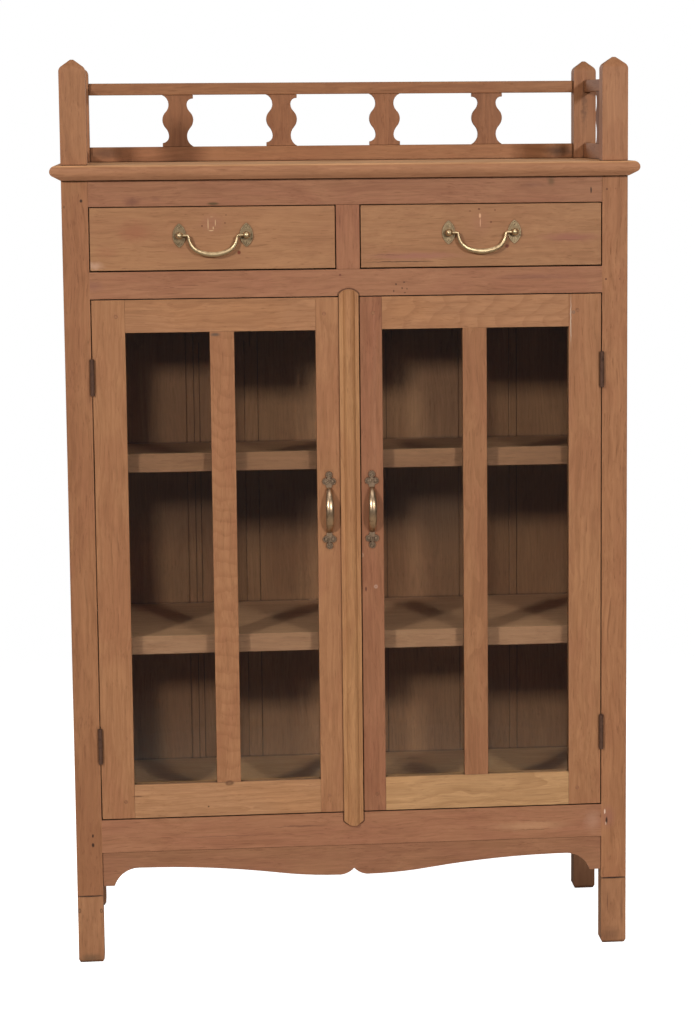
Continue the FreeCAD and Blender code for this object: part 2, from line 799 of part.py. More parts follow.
def drawer(prefix, x0, x1):
    """One drawer between two sides of its opening, with lapped dovetails at the front."""
    x0, x1 = x0 + drawer_side_gap, x1 - drawer_side_gap
    front_z0 = drawer_opening_bottom + drawer_bottom_gap
    front_z1 = drawer_opening_top - drawer_top_gap
    side_z0 = drawer_opening_bottom + drawer_slide_gap
    side_z1 = front_z1 - drawer_side_drop
    tail_z0, tail_z1 = front_z0 + drawer_slide_gap, side_z1
    y_root = front_y + drawer_front_thickness
    y_end = front_y + drawer_length
    inner0, inner1 = x0 + drawer_side_thickness, x1 - drawer_side_thickness
    bottom_z0 = front_z0 + drawer_bottom_rise
    bottom_z1 = bottom_z0 + drawer_bottom_thickness
    groove = drawer_groove_depth
    panel_y0 = y_root - groove + groove_clearance
    bottom = box(inner0 - groove + groove_clearance, inner1 + groove - groove_clearance,
                 panel_y0, y_end, bottom_z0, bottom_z1)
    room = grown_box(inner0 - groove + groove_clearance, inner1 + groove - groove_clearance,
                     panel_y0, y_end + groove, bottom_z0, bottom_z1, groove_clearance)
    front = box(x0, x1, front_y, y_root, front_z0, front_z1)
    sides = []
    for side_x0, side_x1 in ((x0, inner0), (inner1, x1)):
        side = box(side_x0, side_x1, y_root, y_end, side_z0, side_z1)
        side = fuse(side, *dovetails(side_x0, side_x1, tail_z0, tail_z1))
        sides.append(cut(side, room))
        front = cut(front, *dovetails(side_x0, side_x1, tail_z0, tail_z1, dovetail_clearance))
    back = box(inner0, inner1, y_end - drawer_back_thickness, y_end,
               bottom_z1 + groove_clearance, side_z1 - drawer_back_drop)
    add(prefix + "_drawer_front", cut(front, room))
    add(prefix + "_drawer_box", *sides, back)
    add(prefix + "_drawer_bottom", bottom)
    handle(prefix, (x0 + x1) / 2)


def rose_boss(x):
    """The stem and round knob of a rose, drawn as flat-sided rings about an axis along Y."""
    radius, stem = boss_diameter / 2, boss_stem_diameter / 2
    centre_y = front_y - boss_reach
    first = math.asin(stem / radius)
    sections = [(stem, front_y)]
    for step in range(boss_steps + 1):
        turn = first + (math.pi - first * 2) * step / boss_steps
        sections.append((radius * math.sin(turn), centre_y + radius * math.cos(turn)))
    return faceted_bar([ring(Vector(x, y, bail_height), Vector(size, 0, 0), Vector(0, 0, size), boss_sides)
                        for size, y in sections])


def rose(x, inward):
    """A pointed oval back plate with a boss that is bored for the bail's pin."""
    half_w, half_h = rose_width / 2, rose_length / 2
    y = front_y
    low, high = Vector(x, y, bail_height - half_h), Vector(x, y, bail_height + half_h)
    plate = prism([arc(low, Vector(x + half_w, y, bail_height), high),
                   arc(high, Vector(x - half_w, y, bail_height), low)], Vector(0, -rose_thickness, 0))
    radius = bail_pin_diameter / 2 + bail_pin_clearance
    start = x + inward * (boss_diameter / 2 - bail_pin_in_boss - bail_pin_clearance)
    bore = Part.makeCylinder(radius, boss_diameter, Vector(start, y - boss_reach, bail_height),
                             Vector(inward, 0, 0))
    return cut(fuse(plate, rose_boss(x)), bore)


def bail_route():
    """Half of the bail from its pin to its middle, as (run, drop, heading down) per station."""
    steep, shallow = math.radians(bail_arm_angle), math.radians(bail_shoulder_angle)
    shoulder = bail_shoulder_radius
    run = boss_diameter / 2 + bail_lead_length
    drop = 0
    stations = []

    def round_to(start, end, radius, count):
        """Add the stations of a round from one heading to another."""
        nonlocal run, drop
        for index in range(count + 1):
            turn = start + (end - start) * index / count
            stations.append((run + radius * abs(math.sin(turn) - math.sin(start)),
                             drop + radius * abs(math.cos(turn) - math.cos(start)), turn))
        run, drop = stations[-1][:2]

    round_to(0, steep, bail_bend_radius, bail_bend_stations)
    run_left = bail_spacing / 2 - run - shoulder * (math.sin(steep) - math.sin(shallow))
    drop_left = bail_drop - drop - shoulder * (math.cos(shallow) - math.cos(steep))
    rise = math.tan(shallow / 2)
    arm_drop = (drop_left - rise * run_left) / (1 - rise / math.tan(steep))
    run, drop = run + arm_drop / math.tan(steep), drop + arm_drop
    bow = (run_left - arm_drop / math.tan(steep)) / math.sin(shallow)
    round_to(steep, shallow, shoulder, bail_shoulder_stations)
    stations.pop()
    round_to(shallow, 0, bow, bail_bow_stations)
    return stations[:-1]


def bail_section(x, z, heading, share):
    """A flat oval across the bail, from its thin end at 0 to its swollen middle at 1."""
    high = bail_end_diameter + (bail_middle_height - bail_end_diameter) * share
    deep = bail_end_diameter + (bail_middle_depth - bail_end_diameter) * share
    upright = Vector(-math.sin(heading), 0, math.cos(heading)) * (high / 2)
    return ring(Vector(x, front_y - boss_reach, z), Vector(0, deep / 2, 0), upright, bar_sides)


def bail(middle_x):
    """A drop handle: two pins, and between them one bent bar that swells to its middle."""
    half = bail_spacing / 2
    route = bail_route()
    wires = []
    for run, drop, turn in route:
        wires.append(bail_section(middle_x - half + run, bail_height - drop, -turn, drop / bail_drop))
    wires.append(bail_section(middle_x, bail_height - bail_drop, 0, 1))
    for run, drop, turn in reversed(route):
        wires.append(bail_section(middle_x + half - run, bail_height - drop, turn, drop / bail_drop))
    bar = faceted_bar(wires)
    pin_x = half - boss_diameter / 2 + bail_pin_in_boss
    pin_length = pin_x - half + boss_diameter / 2 + bail_lead_length
    axis_y = front_y - boss_reach
    pins = [Part.makeCylinder(bail_pin_diameter / 2, pin_length,
                              Vector(middle_x + sign * pin_x, axis_y, bail_height), Vector(-sign, 0, 0))
            for sign in (1, -1)]
    return fuse(bar, *pins)


def handle(prefix, middle_x):
    """A bail and its two roses on one drawer front."""
    half = bail_spacing / 2
    add(prefix + "_drawer_roses", rose(middle_x - half, 1), rose(middle_x + half, -1))
    add(prefix + "_bail", bail(middle_x))


def build_drawers():
    """Two drawers side by side."""
    half = divider_width / 2
    drawer("left", -front_inner_x, -half)
    drawer("right", half, front_inner_x)


def door_tenon(x0, x1, z0, z1, gap=0):
    """A door rail's tenon along X, or with a gap its mortise."""
    y0 = front_y + (door_thickness - door_tenon_thickness) / 2
    return grown_box(x0, x1, y0, y0 + door_tenon_thickness,
                     z0 + door_tenon_shoulder, z1 - door_tenon_shoulder, gap)


def door_peg(x, z, gap=0):
    """A riven peg through a door's stile and tenon, or with a gap its hole."""
    radius = peg_diameter / 2 + gap
    outline = ring(Vector(x, front_y, z), Vector(radius, 0, 0), Vector(0, 0, radius), peg_sides)
    return polygon_prism(outline, Vector(0, peg_length + gap, 0))


def pane(x0, x1, z0, z1):
    """A bevelled sheet of glass in its rebate, bevel to the front."""
    x0, x1 = x0 - glass_rebate_width + pane_edge_gap, x1 + glass_rebate_width - pane_edge_gap
    z0, z1 = z0 - glass_rebate_width + pane_edge_gap, z1 + glass_rebate_width - pane_edge_gap
    covered = glass_rebate_width - pane_edge_gap
    rise = (pane_thickness - pane_edge_thickness) * covered / pane_bevel_width
    back = rebate_y + pane_seat_gap + pane_edge_thickness + rise
    edge_y, face_y = back - pane_edge_thickness, back - pane_thickness
    slab = box(x0, x1, edge_y, back, z0, z1)
    bevel = pane_bevel_width
    crown = Part.makeWedge(x0 + bevel, face_y, z0 + bevel, z0, x0, x1 - bevel, edge_y, z1 - bevel, z1, x1)
    return fuse(slab, crown), back


def glazing(x0, x1, z0, z1):
    """The pane of one opening and the four beads that hold it."""
    glass, glass_back = pane(x0, x1, z0, z1)
    y0, y1 = glass_back, door_back_y
    gap = glass_rebate_width - bead_gap
    left, right, low, high = x0 - gap, x1 + gap, z0 - gap, z1 + gap
    beads = [
        box(left, left + bead_width, y0, y1, low, high),
        box(right - bead_width, right, y0, y1, low, high),
        box(left + bead_width, right - bead_width, y0, y1, low, low + bead_width),
        box(left + bead_width, right - bead_width, y0, y1, high - bead_width, high),
    ]
    return glass, beads


def door(prefix, free_x, turn):
    """One door, drawn as the left one. The right one is drawn the same way and mirrored."""
    z0, z1 = door_opening_bottom + door_gap, door_opening_top - door_gap
    y0, y1 = front_y, door_back_y
    glass_z0, glass_z1 = z0 + door_bottom_rail_height, z1 - door_top_rail_height
    inner_x = -inner_pane_edge
    muntin_x0 = pane_outer_x + outer_pane_width
    muntin_x1 = muntin_x0 + muntin_width
    openings = ((pane_outer_x, muntin_x0), (muntin_x1, inner_x))
    rebates = [box(a - glass_rebate_width, b + glass_rebate_width, rebate_y, y1,
                   glass_z0 - glass_rebate_width, glass_z1 + glass_rebate_width) for a, b in openings]
    free_tenon = min(door_tenon_length, free_x - inner_x - door_tenon_shoulder)
    rails = {}
    mortises, pegs, holes = [], [], []
    for name, low, high in (("top", glass_z1, z1), ("bottom", z0, glass_z0)):
        body = box(pane_outer_x, inner_x, y0, y1, low, high)
        tenons = ((pane_outer_x - door_tenon_length, pane_outer_x), (inner_x, inner_x + free_tenon))
        rails[name] = fuse(body, *[door_tenon(a, b, low, high) for a, b in tenons])
        mortises += [door_tenon(a, b, low, high, mortise_clearance) for a, b in tenons]
        for x in (pane_outer_x - peg_setback, inner_x + peg_setback):
            pegs.append(door_peg(x, (low + high) / 2))
            holes.append(door_peg(x, (low + high) / 2, peg_clearance))
    tongue_y0 = y0 + (door_thickness - door_tenon_thickness) / 2
    tongue_y1 = rebate_y
    tongue_x0, tongue_x1 = muntin_x0 + door_tenon_shoulder, muntin_x1 - door_tenon_shoulder
    tongue_z0, tongue_z1 = glass_z0 - muntin_tenon_length, glass_z1 + muntin_tenon_length
    muntin = fuse(box(muntin_x0, muntin_x1, y0, y1, glass_z0, glass_z1),
                  box(tongue_x0, tongue_x1, tongue_y0, tongue_y1, tongue_z0, tongue_z1))
    muntin_room = grown_box(tongue_x0, tongue_x1, tongue_y0, tongue_y1, tongue_z0, tongue_z1,
                            mortise_clearance)
    leaf_z0s = [height - hinge_length / 2 for height in (upper_hinge_height, lower_hinge_height)]
    let_in = (hinge_leaf_gap / 2 + hinge_leaf_thickness) - door_gap / 2
    gains = [box(hinge_edge_x, hinge_edge_x + let_in, y0, y0 + hinge_leaf_width, z, z + hinge_length)
             for z in leaf_z0s]
    hinge_stile = cut(box(hinge_edge_x, pane_outer_x, y0, y1, z0, z1), *mortises, *rebates, *holes, *gains)
    meeting_stile = cut(box(inner_x, free_x, y0, y1, z0, z1), *mortises, *rebates, *holes)
    add(prefix + "_hinge_stile", turn(hinge_stile))
    add(prefix + "_meeting_stile", turn(meeting_stile))
    for name, rail in rails.items():
        add(prefix + "_door_" + name + "_rail", turn(cut(rail, *rebates, *holes, muntin_room)))
    add(prefix + "_door_muntin", turn(cut(muntin, *rebates)))
    add(prefix + "_door_pegs", *[turn(peg) for peg in pegs])
    for a, b in openings:
        glass, beads = glazing(a, b, glass_z0, glass_z1)
        add(prefix + "_door_panes", turn(glass))
        add(prefix + "_glazing_beads", *[turn(bead) for bead in beads])
    strip_left_x = strip_right_x - strip_width
    add(prefix + "_door_pull", turn(pull((inner_x + strip_left_x) / 2)))
    for height in (upper_hinge_height, lower_hinge_height):
        add(prefix + "_hinge_leaves", turn(hinge_leaf(height, False)))
        add("hinge_frame_leaves", turn(hinge_leaf(height, True)))


def hinge_leaf(height, on_frame):
    """One leaf of a left hinge. The leaf on the leg has the outer knuckles and the pin."""
    z0 = height - hinge_length / 2
    pitch = hinge_length / hinge_knuckles
    radius = hinge_barrel_diameter / 2
    near = hinge_leaf_gap / 2
    far = near + hinge_leaf_thickness
    x0, x1 = (hinge_x - far, hinge_x - near) if on_frame else (hinge_x + near, hinge_x + far)
    plate = box(x0, x1, front_y, front_y + hinge_leaf_width, z0, z0 + hinge_length)
    pieces = []
    for index in range(0 if on_frame else 1, hinge_knuckles, 2):
        low = z0 + pitch * index + (hinge_knuckle_gap / 2 if index else 0)
        high = z0 + pitch * (index + 1) - (hinge_knuckle_gap / 2 if index < hinge_knuckles - 1 else 0)
        middle = Vector(hinge_x, hinge_y, low)
        barrel = ring(middle, Vector(radius, 0, 0), Vector(0, radius, 0), knuckle_sides)
        pieces.append(polygon_prism(barrel, Vector(0, 0, high - low)))
        pieces.append(box(x0, x1, hinge_y, front_y, low, high))
    pin_radius = hinge_pin_diameter / 2
    if on_frame:
        pieces.append(Part.makeCylinder(pin_radius, hinge_length, Vector(hinge_x, hinge_y, z0)))
        return fuse(plate, *pieces)
    bore = Part.makeCylinder(pin_radius + hinge_pin_clearance, hinge_length, Vector(hinge_x, hinge_y, z0))
    return cut(fuse(plate, *pieces), bore)


def trefoil(x, z, sign):
    """The end plate of a pull: three round lobes and the neck that runs to the bow."""
    radius = pull_lobe_diameter / 2
    spread = pull_lobe_spread / 2
    depth = pull_plate_thickness
    forward = Vector(0, -1, 0)
    top_z = z - sign * radius
    side_z = top_z - sign * spread * math.sqrt(3)
    wide, tall = Vector(radius, 0, 0), Vector(0, 0, radius)
    lobes = [polygon_prism(ring(Vector(px, front_y, pz), wide, tall, lobe_sides), forward * depth)
             for px, pz in ((x, top_z), (x - spread, side_z), (x + spread, side_z))]
    neck_end = pull_height + sign * (pull_bow_span / 2 - pull_neck_width / 2)
    low, high = sorted((side_z, neck_end))
    neck = box(x - pull_neck_width / 2, x + pull_neck_width / 2, front_y - depth, front_y, low, high)
    return fuse(lobes[0], lobes[1], lobes[2], neck)


def pull(x):
    """A cast bow pull: an arched bar that swells to its middle, between two trefoil plates."""
    half = (pull_bow_span - pull_bow_depth) / 2
    reach = pull_reach - pull_bow_depth / 2
    radius = (half ** 2 + reach ** 2) / (reach * 2)
    centre_y = front_y - reach + radius
    limit = math.asin(half / radius)
    rings = []
    for index in range(pull_bow_stations + 1):
        turn = limit * (index * 2 / pull_bow_stations - 1)
        share = pull_bow_end_share + (1 - pull_bow_end_share) * math.cos(turn)
        outward = Vector(0, -math.cos(turn), math.sin(turn))
        centre = Vector(x, centre_y, pull_height) + outward * radius
        rings.append(ring(centre, Vector(pull_bow_width * share / 2, 0, 0),
                          outward * (pull_bow_depth * share / 2), bar_sides))
    ends = [trefoil(x, pull_height + sign * pull_length / 2, sign) for sign in (1, -1)]
    wall = box(x - pull_length, x + pull_length, front_y, front_y + pull_reach,
               pull_height - pull_length, pull_height + pull_length)
    return cut(fuse(faceted_bar(rings), *ends), wall)


def build_strip():
    """The bead-moulded strip on the left door, which covers the line between the doors."""
    x1 = strip_right_x
    x0 = x1 - strip_width
    middle = (x0 + x1) / 2
    bead = strip_bead_width / 2
    z0 = door_opening_bottom - strip_bottom_lap
    z1 = door_opening_top + strip_top_lap
    flat_y = front_y - strip_thickness
    top_y = front_y - strip_bead_height

    def at(x, y):
        return Vector(x, y, z0)

    section = [
        line(at(x0, front_y), at(x0, flat_y)),
        line(at(x0, flat_y), at(middle - bead, flat_y)),
        arc(at(middle - bead, flat_y), at(middle, top_y), at(middle + bead, flat_y)),
        line(at(middle + bead, flat_y), at(x1, flat_y)),
        line(at(x1, flat_y), at(x1, front_y)),
        line(at(x1, front_y), at(x0, front_y)),
    ]
    bar = prism(section, Vector(0, 0, z1 - z0))
    outline = prism(strip_outline(0, front_y), Vector(0, -strip_bead_height * 2, 0))
    add("meeting_strip", bar.common(outline).Solids[0])


def build_doors():
    """The left door with its strip, and the right door."""
    door("left", strip_right_x, Part.Shape.copy)
    door("right", -(meeting_line_x + meeting_gap / 2), mirrored)
    build_strip()


def baluster_side(sign, fillet, z0, z1, put):
    """Edges of one sawn side: hollows at foot and head, a swell between them and one square fillet."""
    tall = z1 - z0
    wide, neck = sign * baluster_width / 2, sign * baluster_neck_width / 2
    foot_z = z0 + (baluster_fillet_height if fillet == "foot" else 0)
    head_z = z1 - (0 if fillet == "foot" else baluster_fillet_height)
    low_z = z0 + tall * baluster_neck_share
    bulge_z = z0 + tall * baluster_bulge_share
    high_z = z0 + tall * baluster_upper_neck_share
    upward = put(0, 1) - put(0, 0)
    edges = (tangent_chords(put(neck, low_z), put(wide, foot_z), upward)
             + tangent_chords(put(neck, high_z), put(wide, head_z), upward))
    for neck_z in (low_z, high_z):
        middle = put((wide + neck) / 2, (neck_z + bulge_z) / 2)
        edges += (tangent_chords(put(neck, neck_z), middle, upward)
                  + tangent_chords(put(wide, bulge_z), middle, upward))
    if fillet == "foot":
        edges.append(line(put(wide, z0), put(wide, foot_z)))
    if fillet == "head":
        edges.append(line(put(wide, head_z), put(wide, z1)))
    return edges


def tangent_chords(start, end, heading):
    """Short saw cuts along the arc from start, where it runs along heading, to end."""
    chord = end - start
    heading = Vector(heading).normalize()
    across = chord - heading * chord.dot(heading)
    radius = chord.Length ** 2 / (across.Length * 2)
    inward = Vector(across).normalize()
    centre = start + inward * radius
    first, last = start - centre, end - centre
    whole, axis = math.degrees(first.getAngle(last)), first.cross(last)
    points = [centre + FreeCAD.Rotation(axis, whole * index / baluster_chords).multVec(first)
              for index in range(baluster_chords + 1)]
    return [line(near, far) for near, far in zip(points, points[1:])]


def baluster(z0, z1, left_fillet, right_fillet, place):
    """A flat baluster sawn to a vase outline. place turns (offset, height, depth) into a point."""
    depth = baluster_thickness / 2

    def put(offset, height):
        return place(offset, height, -depth)

    edges = baluster_side(-1, left_fillet, z0, z1, put) + baluster_side(1, right_fillet, z0, z1, put)
    half = baluster_width / 2
    edges += [line(put(-half, z0), put(half, z0)), line(put(-half, z1), put(half, z1))]
    return prism(Part.sortEdges(edges)[0], place(0, z0, depth) - put(0, z0))


def gallery_post(x0, x1, y0, y1):
    """A square post whose top is worn from a low point to a soft dome."""
    low_z, top_z = board_top, board_top + gallery_post_height
    shoulder_z = top_z - gallery_cap_height

    def outline(low, high):
        return [((low, low_z), 0), ((high, low_z), 0), ((high, shoulder_z), gallery_shoulder_round),
                (((low + high) / 2, top_z), gallery_peak_round), ((low, shoulder_z), gallery_shoulder_round)]

    across = rounded_prism([(Vector(x, y0, z), ease) for (x, z), ease in outline(x0, x1)],
                           Vector(0, y1 - y0, 0))
    along = rounded_prism([(Vector(x0, y, z), ease) for (y, z), ease in outline(y0, y1)],
                          Vector(x1 - x0, 0, 0))
    return across.common(along).Solids[0]


def build_gallery():
    """Corner posts, rails and balusters on three sides of the top."""
    for inner_x, y0 in ((front_inner_x, front_y), (rear_inner_x, rear_leg_front_y)):
        upright = gallery_post(inner_x, half_width, y0, y0 + leg_depth)
        add("gallery_posts", upright, mirrored(upright))
    bottom_top = board_top + gallery_bottom_rail_height
    top_low = board_top + gallery_top_rail_bottom
    top_high = top_low + gallery_top_rail_height
    back_middle = back_y - leg_depth / 2
    back_y0 = back_middle - gallery_rail_thickness / 2
    back_y1 = back_middle + gallery_rail_thickness / 2
    side_x1 = half_width - gallery_side_inset
    side_x0 = side_x1 - gallery_rail_thickness
    side_middle = (side_x0 + side_x1) / 2
    side_y = (front_leg_back_y + rear_leg_front_y) / 2
    for name, z0, z1 in (("gallery_bottom_rails", board_top, bottom_top),
                         ("gallery_top_rails", top_low, top_high)):
        side = box(side_x0, side_x1, front_leg_back_y, rear_leg_front_y, z0, z1)
        add(name, box(-rear_inner_x, rear_inner_x, back_y0, back_y1, z0, z1), side, mirrored(side))
    count = len(baluster_fillets)
    for index, (left, right) in enumerate(baluster_fillets):
        middle_x = baluster_spacing * (index - (count - 1) / 2)
        add("gallery_balusters", baluster(
            bottom_top, top_low, left, right,
            lambda offset, height, depth: Vector(middle_x + offset, back_middle + depth, height)))
    for sign in (1, -1):
        add("gallery_balusters", baluster(
            bottom_top, top_low, "foot", "head",
            lambda offset, height, depth: Vector(sign * (side_middle + depth), side_y + offset, height)))


def write_parts():
    """Write one file for each named sub-part."""
    os.makedirs("parts", exist_ok=True)
    for name, solids in nodes.items():
        shape = solids[0] if len(solids) == 1 else Part.makeCompound(solids)
        bad = [index for index, solid in enumerate(solids) if not solid.isValid() or solid.Volume <= 0]
        if bad:
            print("not sound:", name, bad)
        shape.exportStep("parts/" + name + ".step")
    print(len(nodes), "sub-parts,", sum(len(solids) for solids in nodes.values()), "solids")


build_legs()
build_front_rails()
build_apron()
build_side_frames()
build_back()
build_top_board()
build_floor()
build_shelves()
build_drawer_supports()
build_drawers()
build_doors()
build_gallery()
write_parts()
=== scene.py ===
import logging
import math
import random
from dataclasses import dataclass, field, replace
from enum import Enum
from typing import Any, Callable, ClassVar, Sequence

import bmesh
import bpy
from mathutils import Matrix, Vector


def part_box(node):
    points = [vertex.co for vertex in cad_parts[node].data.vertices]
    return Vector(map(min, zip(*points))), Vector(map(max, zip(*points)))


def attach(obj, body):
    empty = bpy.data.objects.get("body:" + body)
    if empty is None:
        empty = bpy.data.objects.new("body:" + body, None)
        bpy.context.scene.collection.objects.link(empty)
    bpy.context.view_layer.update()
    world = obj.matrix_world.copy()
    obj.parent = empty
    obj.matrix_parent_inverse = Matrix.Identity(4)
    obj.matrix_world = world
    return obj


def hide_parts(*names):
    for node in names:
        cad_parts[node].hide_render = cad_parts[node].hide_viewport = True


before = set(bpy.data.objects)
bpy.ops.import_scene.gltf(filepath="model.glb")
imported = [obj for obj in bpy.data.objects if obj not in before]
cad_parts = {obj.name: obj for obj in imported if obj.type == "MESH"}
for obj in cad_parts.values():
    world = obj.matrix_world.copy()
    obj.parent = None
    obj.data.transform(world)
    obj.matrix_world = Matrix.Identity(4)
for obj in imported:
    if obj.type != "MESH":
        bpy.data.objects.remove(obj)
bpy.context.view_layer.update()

# A teak cupboard with glass doors, dressed for its studio picture.
# Lengths are in metres, in the cabinet's own frame: +Z up, the doors face -Y, +X to the right.
# Marks in the wood are placed in millimetres, as are the values whose names end in mm or MM.

MM = 0.001
FRONT_MM = -172.5
BACK_BOARDS_MM = 176.0
REAR_GALLERY_MM = 180.0
RELIEF_DEPTH = 0.2 * MM
LOG = logging.getLogger("cupboard")

Colour = tuple[float, float, float]
Range = tuple[float, float]
Input = Any


def srgb(red: int, green: int, blue: int) -> Colour:
    """Return a colour as linear light.

    Args:
        red: its red part, from 0 to 255.
        green: its green part.
        blue: its blue part.

    Returns:
        The three parts, from 0 to 1.
    """
    def linear(value: int) -> float:
        """Return one part by the usual screen curve."""
        share = value / 255
        return share / 12.92 if share <= 0.04045 else ((share + 0.055) / 1.055) ** 2.4

    return linear(red), linear(green), linear(blue)


class Side(Enum):
    """The two halves of the cabinet, as seen from the front."""

    LEFT = "left"
    RIGHT = "right"


class Maths(Enum):
    """The sums that the finishes use, by their shader names."""

    ADD = "ADD"
    TAKE = "SUBTRACT"
    BELOW = "LESS_THAN"
    TIMES = "MULTIPLY"
    OVER = "DIVIDE"
    FRACTION = "FRACT"
    LARGER = "MAXIMUM"


@dataclass(frozen=True)
class Cloud:
    """A cloudy pattern: waves per metre, finer layers, how strong those are, and how much it is stirred."""

    scale: float
    detail: float
    rough: float = 0.5
    twist: float = 0.0


class Wiring:
    """Adds nodes to one shader tree and links them."""

    def __init__(self, tree: bpy.types.NodeTree) -> None:
        """Keep the tree that the nodes go into."""
        self.tree = tree

    def node(self, kind: str, **settings: Any) -> bpy.types.Node:
        """Add a node.

        Args:
            kind: the node's Blender type.
            settings: properties to set on it.

        Returns:
            The new node.
        """
        made = self.tree.nodes.new(kind)
        for name, value in settings.items():
            setattr(made, name, value)
        return made

    def feed(self, socket: bpy.types.NodeSocket, value: Input) -> None:
        """Link a socket to another, or give it a plain value.

        Args:
            socket: the input to fill.
            value: an output socket, a number, or a colour or vector.
        """
        if isinstance(value, bpy.types.NodeSocket):
            self.tree.links.new(value, socket)
        elif isinstance(value, (int, float)):
            socket.default_value = value
        else:
            numbers = tuple(value)
            wide = len(socket.default_value)
            socket.default_value = numbers + (1.0,) * (wide - len(numbers))

    def filled(self, kind: str, values: Sequence[Input], **settings: Any) -> bpy.types.Node:
        """Add a node and feed its first inputs in order.

        Args:
            kind: the node's Blender type.
            values: what its inputs get.
            settings: properties to set on it.

        Returns:
            The new node.
        """
        made = self.node(kind, **settings)
        for socket, value in zip(made.inputs, values):
            self.feed(socket, value)
        return made

    def sum(self, how: Maths, *values: Input, clamp: bool = False) -> bpy.types.NodeSocket:
        """Return the result of a sum on numbers."""
        return self.filled("ShaderNodeMath", values, operation=how.value, use_clamp=clamp).outputs[0]

    def vector(self, how: str, *values: Input) -> bpy.types.NodeSocket:
        """Return the vector that a sum on vectors gives."""
        return self.filled("ShaderNodeVectorMath", values, operation=how).outputs["Vector"]

    def measure(self, how: str, *values: Input) -> bpy.types.NodeSocket:
        """Return the number that a sum on vectors gives."""
        return self.filled("ShaderNodeVectorMath", values, operation=how).outputs["Value"]

    def scaled(self, vector: Input, factor: Input) -> bpy.types.NodeSocket:
        """Make a vector longer or shorter.

        Args:
            vector: the vector.
            factor: how many times longer it becomes.

        Returns:
            The new vector's socket.
        """
        made = self.filled("ShaderNodeVectorMath", [vector], operation="SCALE")
        self.feed(made.inputs["Scale"], factor)
        return made.outputs[0]

    def cloudy(self, vector: Input, cloud: Cloud) -> bpy.types.Node:
        """Add a noise node.

        Args:
            vector: where it is read.
            cloud: the pattern.

        Returns:
            The new node.
        """
        made = self.node("ShaderNodeTexNoise")
        self.feed(made.inputs["Vector"], vector)
        for name, value in (("Scale", cloud.scale), ("Detail", cloud.detail), ("Roughness", cloud.rough),
                            ("Distortion", cloud.twist)):
            made.inputs[name].default_value = value
        return made

    def noise(self, vector: Input, cloud: Cloud) -> bpy.types.NodeSocket:
        """Return a cloudy value from 0 to 1."""
        return self.cloudy(vector, cloud).outputs[0]

    def stray(self, vector: Input, cloud: Cloud, reach: Input) -> bpy.types.NodeSocket:
        """Return a cloudy shift.

        Args:
            vector: where it is read.
            cloud: its pattern.
            reach: twice the furthest that it goes each way.

        Returns:
            The shift's socket.
        """
        middle = (0.5, 0.5, 0.5)
        shift = self.vector("SUBTRACT", self.cloudy(vector, cloud).outputs["Color"], middle)
        return self.scaled(shift, reach)

    def step(self, value: Input, low: Input, high: Input, start: float = 0.0, end: float = 1.0
             ) -> bpy.types.NodeSocket:
        """Return a value that goes softly from one level to another.

        Args:
            value: what decides the level.
            low: up to here it is at its start.
            high: from here on it is at its end.
            start: the first level.
            end: the last level.

        Returns:
            The level's socket.
        """
        made = self.node("ShaderNodeMapRange", interpolation_type="SMOOTHSTEP")
        for name, given in (("Value", value), ("From Min", low), ("From Max", high), ("To Min", start),
                            ("To Max", end)):
            self.feed(made.inputs[name], given)
        return made.outputs[0]

    def blend(self, share: Input, first: Input, second: Input) -> bpy.types.NodeSocket:
        """Return a colour between two colours.

        Args:
            share: how much of the second colour it has.
            first: the first colour.
            second: the second colour.

        Returns:
            The colour's socket.
        """
        made = self.node("ShaderNodeMix", data_type="RGBA")
        self.feed(made.inputs[0], share)
        self.feed(made.inputs[6], first)
        self.feed(made.inputs[7], second)
        return made.outputs[2]

    def either(self, share: Input, first: Input, second: Input) -> bpy.types.NodeSocket:
        """Return a shader between two shaders."""
        return self.filled("ShaderNodeMixShader", (share, first, second)).outputs[0]

    def show(self, shader: Input) -> None:
        """Make a shader the material's surface."""
        self.feed(self.tree.nodes["Material Output"].inputs["Surface"], shader)

    def use(self, group: bpy.types.NodeTree, **values: Input) -> bpy.types.Node:
        """Place a shared effect.

        Args:
            group: the effect.
            values: its inputs by name, with a low line for a space.

        Returns:
            The new node.
        """
        made = self.node("ShaderNodeGroup")
        made.node_tree = group
        for name, value in values.items():
            self.feed(made.inputs[name.replace("_", " ")], value)
        return made

    def roughen(self, shader: bpy.types.Node, height: Input, strength: float) -> None:
        """Give a shader fine relief.

        Args:
            shader: the surface shader.
            height: how high each point stands, from 0 to 1.
            strength: how much of it shows.
        """
        bump = self.node("ShaderNodeBump")
        bump.inputs["Strength"].default_value = strength
        bump.inputs["Distance"].default_value = RELIEF_DEPTH
        self.feed(bump.inputs["Height"], height)
        self.feed(shader.inputs["Normal"], bump.outputs[0])


def placed(name: str, data: Any) -> bpy.types.Object:
    """Put a mesh, a light or a camera into the scene.

    Args:
        name: the new object's name.
        data: what it shows.

    Returns:
        The new object.
    """
    made = bpy.data.objects.new(name, data)
    bpy.context.scene.collection.objects.link(made)
    return made


def blank_material(name: str) -> tuple[bpy.types.Material, Wiring, bpy.types.Node]:
    """Make a plain material.

    Args:
        name: its name.

    Returns:
        The material, its wiring and its surface shader.
    """
    made = bpy.data.materials.new(name)
    made.use_nodes = True
    return made, Wiring(made.node_tree), made.node_tree.nodes["Principled BSDF"]


